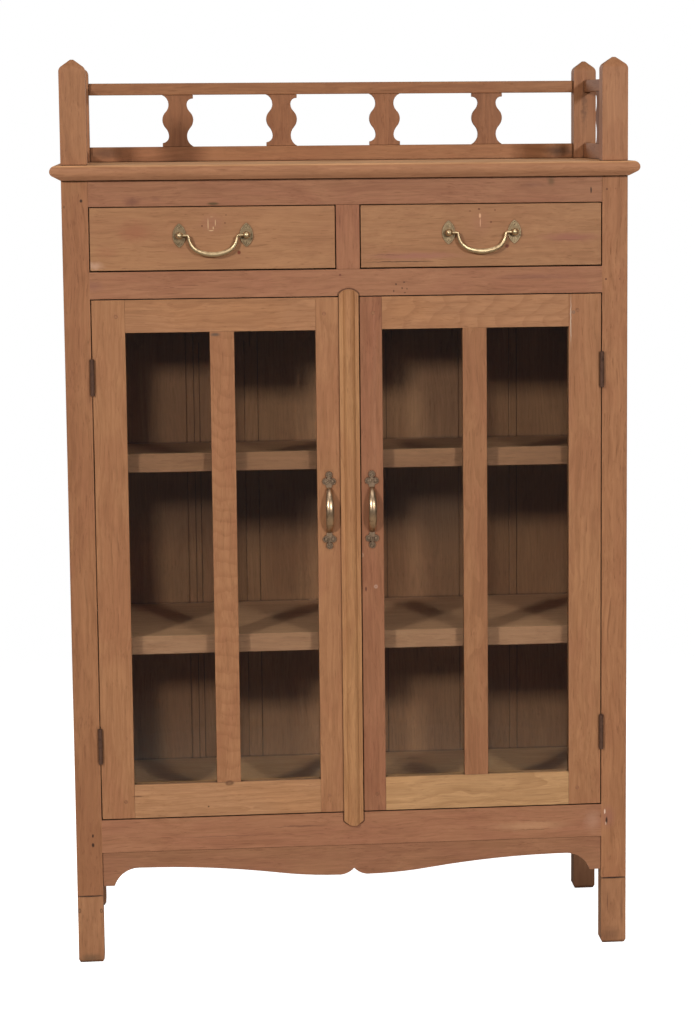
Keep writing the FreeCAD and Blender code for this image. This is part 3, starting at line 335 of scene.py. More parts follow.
class Rays:
    """Tells apart the ways in which light meets the room."""

    def __init__(self, wires: Wiring) -> None:
        """Work out where the room is seen, straight or through a pane, and where it is mirrored.

        Args:
            wires: the wiring of the floor or of the room.
        """
        path = wires.node("ShaderNodeLightPath").outputs
        no_mirror = wires.sum(Maths.BELOW, path["Glossy Depth"], 0.5)
        through = wires.sum(Maths.TIMES, path["Is Transmission Ray"], no_mirror)
        self.seen = wires.sum(Maths.LARGER, path["Is Camera Ray"], through)
        self.mirrored = path["Is Glossy Ray"]


class Effects:
    """The shader groups that several finishes share, each built once."""

    _made: dict[str, bpy.types.NodeTree] = {}

    # Sawn teak: how its lines wander, its growth rings, and what runs along each board.
    # A stretch is the share that a board's length is shrunk to, so that a cloud becomes streaks.
    board_shift = (17.3, 9.1, 23.7)
    wander = Cloud(11.0, 3.0)
    wander_reach = 26 * MM
    wander_stretch = 0.5
    warp = Cloud(7.0, 4.0, 0.55)
    warp_stretch = 0.2
    warp_rings = 4.5
    late_wood = (0.35, 0.97)
    broken_ring = (0.05, 0.6)
    streaks = Cloud(105.0, 5.0, 0.66, 0.3)
    streak_stretch = 0.10
    fibres = Cloud(330.0, 3.0, 0.65)
    pores = Cloud(500.0, 3.0, 0.6)
    pore_range = (0.56, 0.70)
    fine_stretch = 0.05
    fibre_height = 0.6
    patches = Cloud(13.0, 4.0, 0.6, 0.6)
    patch_stretch = 0.4

    # Arrises and corners: how far an arris is felt, where it is rubbed, and how finely arrises and shaded
    # corners are looked for
    arris_reach = 2.2 * MM
    arris_range = (0.01, 0.16)
    arris_samples = 4
    corner_samples = 6
    mottle = Cloud(70.0, 4.0, 0.65)
    mottle_range = (0.38, 0.62)

    # Marks: the cloud that frays stains and patches of painted shade, and how much of an open one is open
    fraying = Cloud(120.0, 3.0)
    open_share = 0.62

    @classmethod
    def get(cls, name: str, build: Callable[[bpy.types.NodeTree], None]) -> bpy.types.NodeTree:
        """Return a group, built on first use.

        Args:
            name: its name.
            build: the function that wires it.

        Returns:
            The group's tree.
        """
        if name not in cls._made:
            tree = bpy.data.node_groups.new(name, "ShaderNodeTree")
            build(tree)
            cls._made[name] = tree
        return cls._made[name]

    @staticmethod
    def ends(tree: bpy.types.NodeTree, inputs: dict[str, str], outputs: Sequence[str]
             ) -> tuple[Wiring, dict[str, bpy.types.NodeSocket], bpy.types.Node]:
        """Give a group its named inputs and outputs.

        Args:
            tree: the group.
            inputs: input names and their kinds.
            outputs: the names of its outputs, which are all numbers.

        Returns:
            The group's wiring, what it is given by name, and its output node.
        """
        for name, kind in inputs.items():
            tree.interface.new_socket(name, in_out="INPUT", socket_type="NodeSocket" + kind)
        for name in outputs:
            tree.interface.new_socket(name, in_out="OUTPUT", socket_type="NodeSocketFloat")
        wires = Wiring(tree)
        given = wires.node("NodeGroupInput").outputs
        return wires, {name: given[name] for name in inputs}, wires.node("NodeGroupOutput")

    @classmethod
    def teak_figure(cls) -> bpy.types.NodeTree:
        """Return the grain of sawn teak, laid along each board's own direction."""
        return cls.get("teak_figure", cls.wire_teak_figure)

    @classmethod
    def wire_teak_figure(cls, tree: bpy.types.NodeTree) -> None:
        """Wire the teak's figure, where a tone is the board's own share of chance.

        Args:
            tree: the empty group.
        """
        inputs = dict.fromkeys(("Point", "Grain", "Heart", "Lean"), "Vector")
        inputs.update(dict.fromkeys(("Tone", "Pitch"), "Float"))
        wires, given, out = cls.ends(tree, inputs, ("Ring", "Streak", "Fibre", "Pore", "Patch", "Height"))
        along = wires.measure("DOT_PRODUCT", given["Point"], given["Grain"])
        lengthwise = wires.scaled(given["Grain"], along)
        seed = wires.scaled(cls.board_shift, given["Tone"])
        straight = wires.vector("SUBTRACT", given["Point"], lengthwise)
        place = wires.vector("ADD", wires.vector("ADD", straight, seed),
                             wires.scaled(lengthwise, cls.wander_stretch))
        across = wires.vector("ADD", straight, wires.stray(place, cls.wander, cls.wander_reach))

        def drawn_out(cloud: Cloud, stretch: float) -> bpy.types.NodeSocket:
            """Return a cloud drawn out along the board, whose length is shrunk by the stretch."""
            shrunk = wires.scaled(lengthwise, stretch)
            return wires.noise(wires.vector("ADD", wires.vector("ADD", across, shrunk), seed), cloud)

        heart_along = wires.measure("DOT_PRODUCT", given["Heart"], given["Grain"])
        heart_across = wires.vector("SUBTRACT", given["Heart"], wires.scaled(given["Grain"], heart_along))
        slanted = wires.scaled(given["Lean"], wires.sum(Maths.TAKE, along, heart_along))
        reach = wires.measure("DISTANCE", wires.vector("ADD", across, slanted), heart_across)
        warped = wires.sum(Maths.TIMES, drawn_out(cls.warp, cls.warp_stretch), cls.warp_rings)
        turns = wires.sum(Maths.ADD, wires.sum(Maths.OVER, reach, given["Pitch"]), warped)
        season = wires.step(wires.sum(Maths.FRACTION, turns), *cls.late_wood)
        streak = drawn_out(cls.streaks, cls.streak_stretch)
        ring = wires.sum(Maths.TIMES, season, wires.step(streak, *cls.broken_ring))
        fibre = drawn_out(cls.fibres, cls.fine_stretch)
        pore = wires.step(drawn_out(cls.pores, cls.fine_stretch), *cls.pore_range)
        patch = drawn_out(cls.patches, cls.patch_stretch)
        height = wires.sum(Maths.TAKE, wires.sum(Maths.TIMES, fibre, cls.fibre_height), pore)
        for name, value in (("Ring", ring), ("Streak", streak), ("Fibre", fibre), ("Pore", pore),
                            ("Patch", patch), ("Height", height)):
            wires.feed(out.inputs[name], value)

    @classmethod
    def handling(cls) -> bpy.types.NodeTree:
        """Return rubbed arrises from years of use, and how enclosed each corner is, for painted shade on wood
        and tarnish on metal.
        """
        return cls.get("handling", cls.wire_handling)

    @classmethod
    def wire_handling(cls, tree: bpy.types.NodeTree) -> None:
        """Wire the worn arrises, and the enclosure of corners that finishes use for painted shade or tarnish.

        Args:
            tree: the empty group.
        """
        wires, given, out = cls.ends(tree, {"Point": "Vector", "Reach": "Float"}, ("Arris", "Corner"))
        rounded = wires.node("ShaderNodeBevel", samples=cls.arris_samples)
        rounded.inputs["Radius"].default_value = cls.arris_reach
        flat = wires.node("ShaderNodeNewGeometry").outputs["Normal"]
        turned = wires.sum(Maths.TAKE, 1.0, wires.measure("DOT_PRODUCT", rounded.outputs[0], flat))
        worn = wires.step(wires.noise(given["Point"], cls.mottle), *cls.mottle_range)
        rubbed = wires.sum(Maths.TIMES, wires.step(turned, *cls.arris_range), worn)
        wires.feed(out.inputs["Arris"], rubbed)
        # Ambient occlusion: how enclosed a point is, which the wood turns into painted shade and the metal
        # into tarnish.
        shade = wires.node("ShaderNodeAmbientOcclusion", samples=cls.corner_samples, only_local=False)
        wires.feed(shade.inputs["Distance"], given["Reach"])
        wires.feed(out.inputs["Corner"], wires.sum(Maths.TAKE, 1.0, shade.outputs["AO"]))

    @classmethod
    def stain(cls) -> bpy.types.NodeTree:
        """Return where one stained patch, hole, scratch or patch of painted shade lies: an uneven oval, open
        in the middle if asked.
        """
        return cls.get("stain", cls.wire_stain)

    @classmethod
    def wire_stain(cls, tree: bpy.types.NodeTree) -> None:
        """Wire one mark: a stained patch, a hole, a scratch or a patch of painted shade.

        Args:
            tree: the empty group.
        """
        inputs = dict.fromkeys(("Point", "Centre", "Half Size"), "Vector")
        inputs.update(dict.fromkeys(("Stray", "Edge", "Open"), "Float"))
        wires, given, out = cls.ends(tree, inputs, ("Mask",))
        astray = wires.stray(given["Point"], cls.fraying, given["Stray"])
        place = wires.vector("SUBTRACT", wires.vector("ADD", given["Point"], astray), given["Centre"])
        far = wires.measure("LENGTH", wires.vector("DIVIDE", place, given["Half Size"]))

        def inside(limit: float) -> bpy.types.NodeSocket:
            """Return 1 within the limit, with the stain's own soft edge."""
            return wires.step(far, wires.sum(Maths.TIMES, limit, given["Edge"]), limit, 1.0, 0.0)

        hollow = wires.sum(Maths.TIMES, inside(cls.open_share), given["Open"])
        wires.feed(out.inputs["Mask"], wires.sum(Maths.TAKE, inside(1.0), hollow, clamp=True))


@dataclass(frozen=True)
class Mark:
    """One stained patch, hole, plug or scratch in the wood, or a patch of painted shade. Places and sizes are
    in millimetres.
    """

    x: float
    z: float
    wide: float
    tall: float
    colour: Colour
    strength: float = 0.7
    stray: float = 0.0
    edge: float = 0.45
    open: float = 0.0
    y: float = FRONT_MM
    deep: float = 12.0

    def lay(self, wires: Wiring, point: Input, colour: Input) -> bpy.types.NodeSocket:
        """Lay the mark on the wood.

        Args:
            wires: the material's wiring.
            point: the place on the object.
            colour: the wood's colour.

        Returns:
            The colour with the mark on it.
        """
        mask = wires.use(Effects.stain(), Point=point, Centre=Vector((self.x, self.y, self.z)) * MM,
                         Half_Size=Vector((self.wide / 2, self.deep, self.tall / 2)) * MM,
                         Stray=self.stray * MM, Edge=self.edge, Open=self.open).outputs["Mask"]
        return wires.blend(wires.sum(Maths.TIMES, mask, self.strength), colour, self.colour)


def spots(colour: Colour, strength: float, stray: float, *places: tuple[float, float, float, float]
          ) -> tuple[Mark, ...]:
    """Return marks of one kind.

    Args:
        colour: their colour.
        strength: how much of it shows.
        stray: how far their edges fray.
        places: the place across and up, the width and the height of each.

    Returns:
        The marks, in the order given.
    """
    return tuple(Mark(*place, colour, strength, stray) for place in places)


class Finish:
    """What a surface is made of."""

    name: str
    slot: str

    def material(self) -> bpy.types.Material:
        """Return the finish's material, made on first use."""
        if self.name not in bpy.data.materials:
            _, wires, shader = blank_material(self.name)
            self.dress(wires, shader, wires.node("ShaderNodeTexCoord").outputs["Object"])
        return bpy.data.materials[self.name]

    def dress(self, wires: Wiring, shader: bpy.types.Node, point: Input) -> None:
        """Give the material its look.

        Args:
            wires: the material's wiring.
            shader: its surface shader.
            point: the place on the object.
        """
        raise NotImplementedError


@dataclass(frozen=True)
class TeakFinish(Finish):
    """Sawn and waxed teak. Its grain follows each board's stored direction.

    A depth is how much of a pattern shows, a tint scales the wood's colour part by part, and a range is
    where a pattern sets in.
    """

    name: str
    colour: Colour
    blush: Colour = (0.93, 0.80, 0.82)
    ring_depth: float = 0.30
    pitch_mm: float = 7.0
    streak_depth: float = 0.54
    patch_depth: float = 0.55
    pore_depth: float = 0.32
    fibre_depth: float = 0.42
    board_depth: float = 0.10
    rough: float = 0.52
    arris_light: float = 0.22
    corner_shade: float = 0.8
    # Painted light: how much lighter faces that look upward are made.
    top_light: float = 0.0
    marks: tuple[Mark, ...] = ()
    slot: str = "teak"

    light_tint: ClassVar[Colour] = (1.13, 1.13, 1.12)
    dark_tint: ClassVar[Colour] = (0.70, 0.62, 0.56)
    pore_tint: ClassVar[Colour] = (0.36, 0.28, 0.24)
    rubbed_tint: ClassVar[Colour] = (1.35, 1.32, 1.25)
    corner_shade_tint: ClassVar[Colour] = (0.16, 0.11, 0.09)
    top_light_tint: ClassVar[Colour] = (0.78, 1.04, 1.0)
    patch_range: ClassVar[Range] = (0.40, 0.66)
    streak_range: ClassVar[Range] = (0.36, 0.72)
    corner_range: ClassVar[Range] = (0.15, 0.6)
    upward_range: ClassVar[Range] = (0.6, 0.95)
    corner_reach: ClassVar[float] = 6 * MM
    patch_rough: ClassVar[float] = 0.18
    pore_rough: ClassVar[float] = 0.15
    gloss: ClassVar[float] = 0.2
    relief: ClassVar[float] = 0.35

    def tinted(self, tint: Colour) -> Colour:
        """Return the wood's colour with each part of it scaled."""
        return tuple(part * share for part, share in zip(self.colour, tint))

    def dress(self, wires: Wiring, shader: bpy.types.Node, point: Input) -> None:
        """Give the material its figure, its marks, its wear, painted shade in its corners and painted light
        on its upward faces.

        Args:
            wires: the material's wiring.
            shader: its surface shader.
            point: the place on the object.
        """
        kinds = {"Grain": "Vector", "Heart": "Vector", "Lean": "Vector", "Tone": "Fac"}
        stored = {name: wires.node("ShaderNodeAttribute", attribute_name=name.lower()).outputs[kind]
                  for name, kind in kinds.items()}
        figure = wires.use(Effects.teak_figure(), Point=point, Pitch=self.pitch_mm * MM, **stored).outputs
        colour = self.figured(wires, figure, stored["Tone"])
        for mark in self.marks:
            colour = mark.lay(wires, point, colour)
        use = wires.use(Effects.handling(), Point=point, Reach=self.corner_reach).outputs
        rubbed = wires.sum(Maths.TIMES, use["Arris"], self.arris_light)
        colour = wires.blend(rubbed, colour, self.tinted(self.rubbed_tint))
        # Painted shade: corners and joints are darkened where ambient occlusion finds them enclosed.
        painted_corner_shade = wires.sum(Maths.TIMES, wires.step(use["Corner"], *self.corner_range), self.corner_shade)
        colour = wires.blend(painted_corner_shade, colour, self.tinted(self.corner_shade_tint))
        # Painted light: faces that look upward are made lighter, as if more light fell on them from above.
        if self.top_light:
            facing = wires.node("ShaderNodeNewGeometry").outputs["Normal"]
            up = wires.step(wires.measure("DOT_PRODUCT", facing, (0.0, 0.0, 1.0)), *self.upward_range)
            top_lit = tuple(1.0 + self.top_light * share for share in self.top_light_tint)
            colour = wires.blend(up, colour, wires.vector("MULTIPLY", colour, top_lit))
        wires.feed(shader.inputs["Base Color"], colour)
        uneven = wires.sum(Maths.TIMES, figure["Patch"], self.patch_rough)
        rough = wires.sum(Maths.ADD, uneven, self.rough - self.patch_rough / 2)
        rough = wires.sum(Maths.ADD, rough, wires.sum(Maths.TIMES, figure["Pore"], self.pore_rough))
        wires.feed(shader.inputs["Roughness"], rough)
        shader.inputs["Specular IOR Level"].default_value = self.gloss
        wires.roughen(shader, figure["Height"], self.relief)

    def figured(self, wires: Wiring, figure: Any, tone: Input) -> bpy.types.NodeSocket:
        """Return the colour of the bare wood.

        Args:
            wires: the material's wiring.
            figure: the outputs of the teak's figure.
            tone: the board's own share of chance.

        Returns:
            The colour with its patches, rings, streaks, fibres and pores.
        """
        patch = wires.sum(Maths.TIMES, wires.step(figure["Patch"], *self.patch_range), self.patch_depth)
        colour = wires.blend(patch, self.tinted(self.light_tint), self.tinted(self.blush))
        streak = wires.sum(Maths.TIMES, wires.step(figure["Streak"], *self.streak_range), self.streak_depth)
        ring = wires.sum(Maths.TIMES, figure["Ring"], self.ring_depth)
        colour = wires.blend(wires.sum(Maths.LARGER, streak, ring), colour, self.tinted(self.dark_tint))
        fibre = wires.sum(Maths.TIMES, figure["Fibre"], self.fibre_depth)
        board = wires.sum(Maths.TIMES, tone, self.board_depth)
        middle = 1.0 - (self.fibre_depth + self.board_depth) / 2
        colour = wires.scaled(colour, wires.sum(Maths.ADD, wires.sum(Maths.ADD, fibre, board), middle))
        pores = wires.sum(Maths.TIMES, figure["Pore"], self.pore_depth)
        return wires.blend(pores, colour, self.tinted(self.pore_tint))


@dataclass(frozen=True)
class MetalFinish(Finish):
    """Cast or rolled metal with tarnish in its hollows and a rubbed shine on what stands proud.

    Its roughness is rough where it is bright and dull where it is tarnished. Settled is the least tarnish
    anywhere, and pitted is how much of its relief shows.
    """

    name: str
    bright: Colour
    tarnish: Colour
    rough: float
    dull: float
    tarnish_share: float
    slot: str
    metal: float = 1.0
    settled: float = 0.0
    pitted: float = 0.2
    shine: float = 0.5

    corner_reach: ClassVar[float] = 4 * MM
    hollow_range: ClassVar[Range] = (0.12, 0.55)
    spotting: ClassVar[Cloud] = Cloud(160.0, 4.0, 0.6)
    spots_from: ClassVar[float] = 0.62
    spots_to: ClassVar[float] = 0.72
    spots_spread: ClassVar[float] = 0.3
    spots_depth: ClassVar[float] = 0.6
    rubbed_off: ClassVar[float] = 0.8
    fine: ClassVar[Cloud] = Cloud(900.0, 2.0)
    fine_rough: ClassVar[float] = 0.08

    def dress(self, wires: Wiring, shader: bpy.types.Node, point: Input) -> None:
        """Give the material its tarnish and its shine.

        Args:
            wires: the material's wiring.
            shader: its surface shader.
            point: the place on the object.
        """
        use = wires.use(Effects.handling(), Point=point, Reach=self.corner_reach).outputs
        cloud = wires.noise(point, self.spotting)
        spots_low = self.spots_from - self.tarnish_share * self.spots_spread
        spotted = wires.sum(Maths.TIMES, wires.step(cloud, spots_low, self.spots_to), self.spots_depth)
        hollow = wires.step(use["Corner"], *self.hollow_range)
        tarnish = wires.sum(Maths.LARGER, wires.sum(Maths.LARGER, spotted, hollow), self.settled)
        rubbed = wires.sum(Maths.TIMES, use["Arris"], self.rubbed_off)
        tarnish = wires.sum(Maths.TAKE, tarnish, rubbed, clamp=True)
        wires.feed(shader.inputs["Base Color"], wires.blend(tarnish, self.bright, self.tarnish))
        shader.inputs["Metallic"].default_value = self.metal
        shader.inputs["Specular IOR Level"].default_value = self.shine
        dulled = wires.sum(Maths.TIMES, tarnish, self.dull - self.rough)
        rough = wires.sum(Maths.ADD, dulled, self.rough - self.fine_rough / 2)
        grain = wires.sum(Maths.TIMES, wires.noise(point, self.fine), self.fine_rough)
        wires.feed(shader.inputs["Roughness"], wires.sum(Maths.ADD, rough, grain))
        wires.roughen(shader, cloud, self.pitted)


@dataclass(frozen=True)
class GlassFinish(Finish):
    """Clear sheet glass that lets light through to what stands behind it."""

    name: str
    haze: float
    slot: str = "bevelled_glass"

    bending: ClassVar[float] = 1.45
    smears: ClassVar[Cloud] = Cloud(9.0, 4.0, 0.6, 0.5)
    smear_range: ClassVar[Range] = (0.45, 0.8)
    clean: ClassVar[Colour] = (0.97, 0.985, 0.975)
    smeared: ClassVar[Colour] = (0.90, 0.915, 0.90)
    shadow: ClassVar[Colour] = (0.93, 0.945, 0.935)

    def dress(self, wires: Wiring, shader: bpy.types.Node, point: Input) -> None:
        """Give the material its smears, and let daylight pass through it.

        Args:
            wires: the material's wiring.
            shader: its surface shader.
            point: the place on the object.
        """
        shader.inputs["Transmission Weight"].default_value = 1.0
        shader.inputs["IOR"].default_value = self.bending
        smear = wires.step(wires.noise(point, self.smears), *self.smear_range)
        wires.feed(shader.inputs["Base Color"], wires.blend(smear, self.clean, self.smeared))
        wires.feed(shader.inputs["Roughness"], wires.sum(Maths.TIMES, smear, self.haze))
        path = wires.node("ShaderNodeLightPath").outputs
        unseen = wires.sum(Maths.LARGER, path["Is Shadow Ray"], path["Is Diffuse Ray"])
        clear = wires.node("ShaderNodeBsdfTransparent")
        wires.feed(clear.inputs[0], self.shadow)
        wires.show(wires.either(unseen, shader.outputs[0], clear.outputs[0]))


# Colours of marks in the wood
HOLE = srgb(62, 40, 28)
RUST = srgb(104, 62, 42)
BLOOM = srgb(150, 98, 78)
PALE = srgb(205, 168, 126)
WORN = srgb(190, 150, 124)
SPLIT = srgb(104, 66, 46)
DARK_ARRIS = srgb(112, 74, 52)
OLD_DIRT = srgb(112, 70, 54)

DRAWER_MARKS = (
    # The left keyhole, with bloom and scratches round it and the nail holes of a lost plate
    Mark(-239.0, 1331.0, 58.0, 44.0, BLOOM, 0.4, 9.0, 0.1),
    *spots(PALE, 1.0, 0.6, (-245.6, 1329.0, 1.7, 26.0), (-240.2, 1317.4, 11.5, 1.7)),
    Mark(-232.8, 1331.0, 1.6, 15.0, PALE, 0.95, 0.6),
    Mark(-236.5, 1322.0, 3.0, 7.0, PALE, 0.7, 0.6),
    Mark(-239.0, 1341.5, 7.0, 1.5, PALE, 0.45, 0.6),
    *spots(RUST, 1.0, 0.5, (-256.2, 1325.7, 3.6, 4.2), (-215.9, 1330.5, 3.4, 3.4),
           (-213.9, 1344.4, 3.0, 3.0)),
    Mark(-254.0, 1345.5, 2.6, 2.6, RUST, 0.6, 0.5),
    # A knot, and stains at the left end
    Mark(-192.1, 1278.5, 8.0, 9.0, srgb(112, 56, 36), 1.0, 0.8),
    Mark(-373.0, 1316.0, 86.0, 56.0, srgb(146, 92, 64), 0.7, 14.0, 0.05),
    Mark(-425.0, 1282.0, 60.0, 34.0, srgb(150, 98, 68), 0.45, 14.0, 0.05),
    Mark(-446.0, 1258.0, 46.0, 22.0, WORN, 0.7, 10.0, 0.05),
    # The right keyhole, plugged, with its nail holes and a small knot
    Mark(236.0, 1324.0, 54.0, 58.0, srgb(150, 100, 74), 0.5, 12.0, 0.05),
    Mark(234.9, 1338.5, 5.0, 11.0, srgb(206, 156, 118), 1.0, 0.8),
    Mark(235.4, 1326.0, 2.4, 20.0, srgb(200, 150, 116), 0.9, 0.8),
    *spots(RUST, 1.0, 0.5, (217.1, 1346.8, 3.2, 3.2), (261.7, 1348.0, 3.4, 3.4), (254.5, 1326.9, 4.0, 4.6)),
    Mark(233.2, 1350.1, 5.6, 4.0, RUST, 1.0, 0.8),
    Mark(283.0, 1284.1, 10.0, 9.0, srgb(120, 66, 46), 1.0, 1.5),
    # A split along the lower edge, and dark streaks
    Mark(95.0, 1258.6, 175.0, 1.9, HOLE, 1.0, 2.2, 0.3),
    Mark(120.0, 1268.5, 230.0, 20.0, srgb(150, 98, 80), 0.8, 6.0, 0.05),
    Mark(70.0, 1271.0, 90.0, 1.8, srgb(104, 68, 52), 0.8, 3.0, 0.2),
    Mark(396.0, 1299.0, 150.0, 22.0, srgb(146, 94, 74), 0.9, 9.0, 0.05),
    Mark(390.0, 1294.0, 90.0, 3.0, srgb(118, 72, 56), 0.6, 3.0, 0.1),
)
RAIL_MARKS = (
    # The rail over the drawers: stains, two knots and a slot
    Mark(-377.0, 1369.0, 44.0, 22.0, OLD_DIRT, 0.75, 8.0, 0.05),
    Mark(-336.0, 1374.0, 30.0, 12.0, srgb(118, 76, 58), 0.45, 8.0, 0.05),
    Mark(-236.3, 1364.4, 27.0, 7.5, srgb(94, 68, 42), 1.0, 1.5, 0.3),
    Mark(433.7, 1381.6, 3.6, 15.0, HOLE, 1.0, 0.6),
    Mark(361.9, 1399.0, 20.0, 26.0, srgb(104, 76, 50), 0.75, 4.0, 0.05),
    Mark(330.0, 1392.0, 70.0, 16.0, srgb(122, 80, 62), 0.4, 9.0, 0.05),
    # The rail under the drawers: a plug, a group of beetle holes, and stains
    Mark(-14.6, 1236.6, 5.4, 5.4, srgb(112, 64, 48), 1.0, 0.6),
    *spots(HOLE, 0.95, 1.2, (84.6, 1219.0, 3.2, 4.4), (99.0, 1222.4, 4.4, 2.6)),
    *spots(HOLE, 0.8, 1.2, (80.5, 1207.0, 2.6, 6.0), (104.0, 1210.5, 2.4, 4.4), (100.0, 1203.5, 5.0, 2.4)),
    Mark(95.5, 1212.0, 2.8, 5.0, HOLE, 0.9, 1.2),
    Mark(330.0, 1229.0, 200.0, 14.0, srgb(128, 84, 66), 0.55, 8.0, 0.05),
    Mark(-450.0, 1222.0, 60.0, 30.0, srgb(136, 90, 72), 0.55, 10.0, 0.05),
    # The rail under the doors: dark streaks, and wear at its right end
    Mark(-100.0, 240.0, 120.0, 4.0, srgb(110, 72, 54), 0.7, 4.0, 0.1),
    Mark(-240.0, 226.0, 200.0, 3.0, srgb(112, 74, 56), 0.55, 4.0, 0.1),
    Mark(438.0, 233.0, 44.0, 58.0, WORN, 0.3, 16.0, 0.05),
    Mark(320.0, 226.0, 210.0, 26.0, srgb(186, 142, 104), 0.45, 10.0, 0.05),
    Mark(330.0, 219.0, 130.0, 3.0, srgb(118, 78, 54), 0.7, 4.0, 0.1),
    Mark(455.0, 240.0, 9.0, 12.0, RUST, 0.8, 2.0, 0.2),
    # The upright between the drawers: one streak
    Mark(-14.0, 1330.0, 3.0, 34.0, srgb(116, 72, 56), 0.7, 1.5, 0.1),
)
SPLICES = tuple(Mark(x, 123.5, 70.0, 4.4, HOLE, 1.0, 0.8, 0.5, deep=60.0) for x in (-478.0, 476.0))
# Painted shade on the rear legs and feet, darkest near the floor and towards the back.
REAR_SHADE = Mark(0.0, 20.0, 2200.0, 900.0, srgb(74, 48, 34), 0.6, 0.0, 0.25, y=BACK_BOARDS_MM, deep=80.0)
LEG_MARKS = (
    REAR_SHADE, *SPLICES,
    # The left leg: its darker lower part, and holes
    Mark(-478.0, 230.0, 90.0, 620.0, srgb(138, 90, 60), 0.55, 14.0, 0.05),
    Mark(-465.8, 1371.5, 6.4, 7.6, HOLE, 1.0, 0.9),
    Mark(-495.4, 1361.4, 2.4, 8.0, HOLE, 0.8, 0.9),
    *spots(HOLE, 1.0, 1.0, (-470.1, 234.6, 4.0, 8.4), (-470.4, 217.6, 6.6, 10.0)),
    # The right leg: nail holes, and a broken corner with pale wood under it
    *spots(RUST, 1.0, 0.6, (462.4, 1383.1, 4.6, 5.2), (460.9, 1223.1, 5.0, 5.0)),
    Mark(478.0, 1384.0, 3.0, 3.0, RUST, 0.6, 0.6),
    Mark(485.0, 1223.0, 3.0, 3.4, RUST, 0.7, 0.6),
    Mark(466.0, 238.0, 38.0, 60.0, srgb(148, 96, 76), 0.7, 8.0, 0.05),
    Mark(460.4, 248.5, 3.6, 12.0, srgb(214, 182, 158), 1.0, 1.0),
    Mark(464.0, 232.0, 5.0, 16.0, HOLE, 0.95, 1.6),
    Mark(462.6, 226.0, 2.8, 8.0, srgb(200, 168, 144), 0.8, 1.4),
    # Dark outer arrises
    Mark(-498.0, 640.0, 3.0, 900.0, DARK_ARRIS, 0.45, 4.0, 0.1),
    Mark(494.0, 760.0, 3.0, 700.0, srgb(120, 80, 56), 0.4, 4.0, 0.1),
)
FOOT_MARKS = (
    *SPLICES,
    # Two plugs, painted shade towards the back, darker patches at the bottoms of the front feet, and splits
    # in the right foot
    Mark(-497.0, 97.0, 8.0, 11.0, HOLE, 1.0, 1.4, 0.3, 0.9),
    Mark(-458.0, 95.5, 7.0, 11.0, HOLE, 1.0, 1.4, 0.3, 0.9),
    REAR_SHADE,
    Mark(-478.0, 8.0, 60.0, 26.0, srgb(104, 78, 56), 0.75, 9.0, 0.05),
    Mark(472.0, 16.0, 60.0, 44.0, srgb(100, 68, 48), 0.5, 18.0, 0.05),
    Mark(466.0, 78.0, 3.4, 52.0, SPLIT, 0.8, 2.4, 0.1),
    Mark(482.0, 96.0, 2.4, 30.0, SPLIT, 0.55, 2.4, 0.1),
    Mark(492.0, 60.0, 8.0, 90.0, DARK_ARRIS, 0.55, 4.0, 0.05),
)
DOOR_MARKS = (
    # The left muntin's knot, a stain over it, and a scratch and a plug at the upper right
    Mark(-223.8, 324.1, 21.0, 13.0, srgb(70, 40, 28), 1.0, 2.0, 0.2, 0.55),
    Mark(-236.6, 1134.4, 24.0, 9.0, srgb(96, 76, 62), 0.9, 2.5, 0.2),
    Mark(397.5, 1150.0, 2.8, 118.0, srgb(196, 176, 156), 0.7, 3.0, 0.2),
    Mark(402.3, 1165.0, 8.0, 8.0, srgb(110, 90, 76), 1.0, 0.8, 0.4, 0.7),
    # Old screw holes, plugged, in the right meeting stile
    Mark(44.2, 676.7, 9.0, 9.0, srgb(176, 142, 122), 0.95, 0.8, 0.4, 0.6),
    Mark(26.1, 672.6, 4.0, 11.0, srgb(92, 50, 36), 1.0, 1.2),
    Mark(19.5, 734.6, 9.0, 10.0, srgb(178, 144, 120), 0.8, 2.0, 0.3, 0.8),
    # A split and a hole in the left door's bottom rail
    Mark(-388.0, 304.5, 30.0, 3.0, srgb(92, 58, 40), 0.95, 2.0, 0.1),
    Mark(-262.0, 282.0, 4.0, 4.0, HOLE, 0.8, 0.8),
)
GALLERY_MARKS = tuple(
    Mark(x, z, wide, tall, colour, strength, stray, 0.05, y=REAR_GALLERY_MM, deep=deep)
    for x, z, wide, tall, colour, strength, stray, deep in (
        (-430.0, 1450.0, 90.0, 34.0, srgb(86, 58, 42), 0.6, 12.0, 60.0),
        (432.0, 1447.0, 80.0, 34.0, srgb(70, 48, 34), 0.8, 12.0, 60.0),
        (-290.0, 1468.0, 40.0, 22.0, srgb(88, 60, 44), 0.7, 8.0, 60.0),
        # Painted shadow: a dark band down the right rear post, where the side rail shades it.
        (478.0, 1530.0, 18.0, 130.0, srgb(78, 52, 38), 0.7, 16.0, 40.0),
    ))
# Painted shade: darker bands across the upper parts of the two upper compartments' back boards, where the
# rail and the shelf above shade them.
INSIDE_SHADE_MARKS = (
    Mark(0.0, 790.0, 1600.0, 270.0, srgb(50, 33, 24), 0.6, 0.0, 0.1, y=BACK_BOARDS_MM, deep=60.0),
    Mark(0.0, 1190.0, 1500.0, 300.0, srgb(58, 38, 27), 0.6, 0.0, 0.1, y=BACK_BOARDS_MM, deep=60.0),
)

# Finishes of the wood
RAIL_TEAK = TeakFinish("rail_teak", srgb(149, 102, 73), blush=(0.96, 0.84, 0.90), marks=RAIL_MARKS)
DIVIDER_TEAK = replace(RAIL_TEAK, name="divider_teak", colour=srgb(144, 96, 68))
APRON_TEAK = replace(RAIL_TEAK, name="apron_teak", colour=srgb(145, 100, 71), marks=())
DOOR_RAIL_TEAK = TeakFinish("door_rail_teak", srgb(166, 121, 85), blush=(1.12, 1.06, 0.94), ring_depth=0.5,
                            pitch_mm=9.0, marks=DOOR_MARKS)
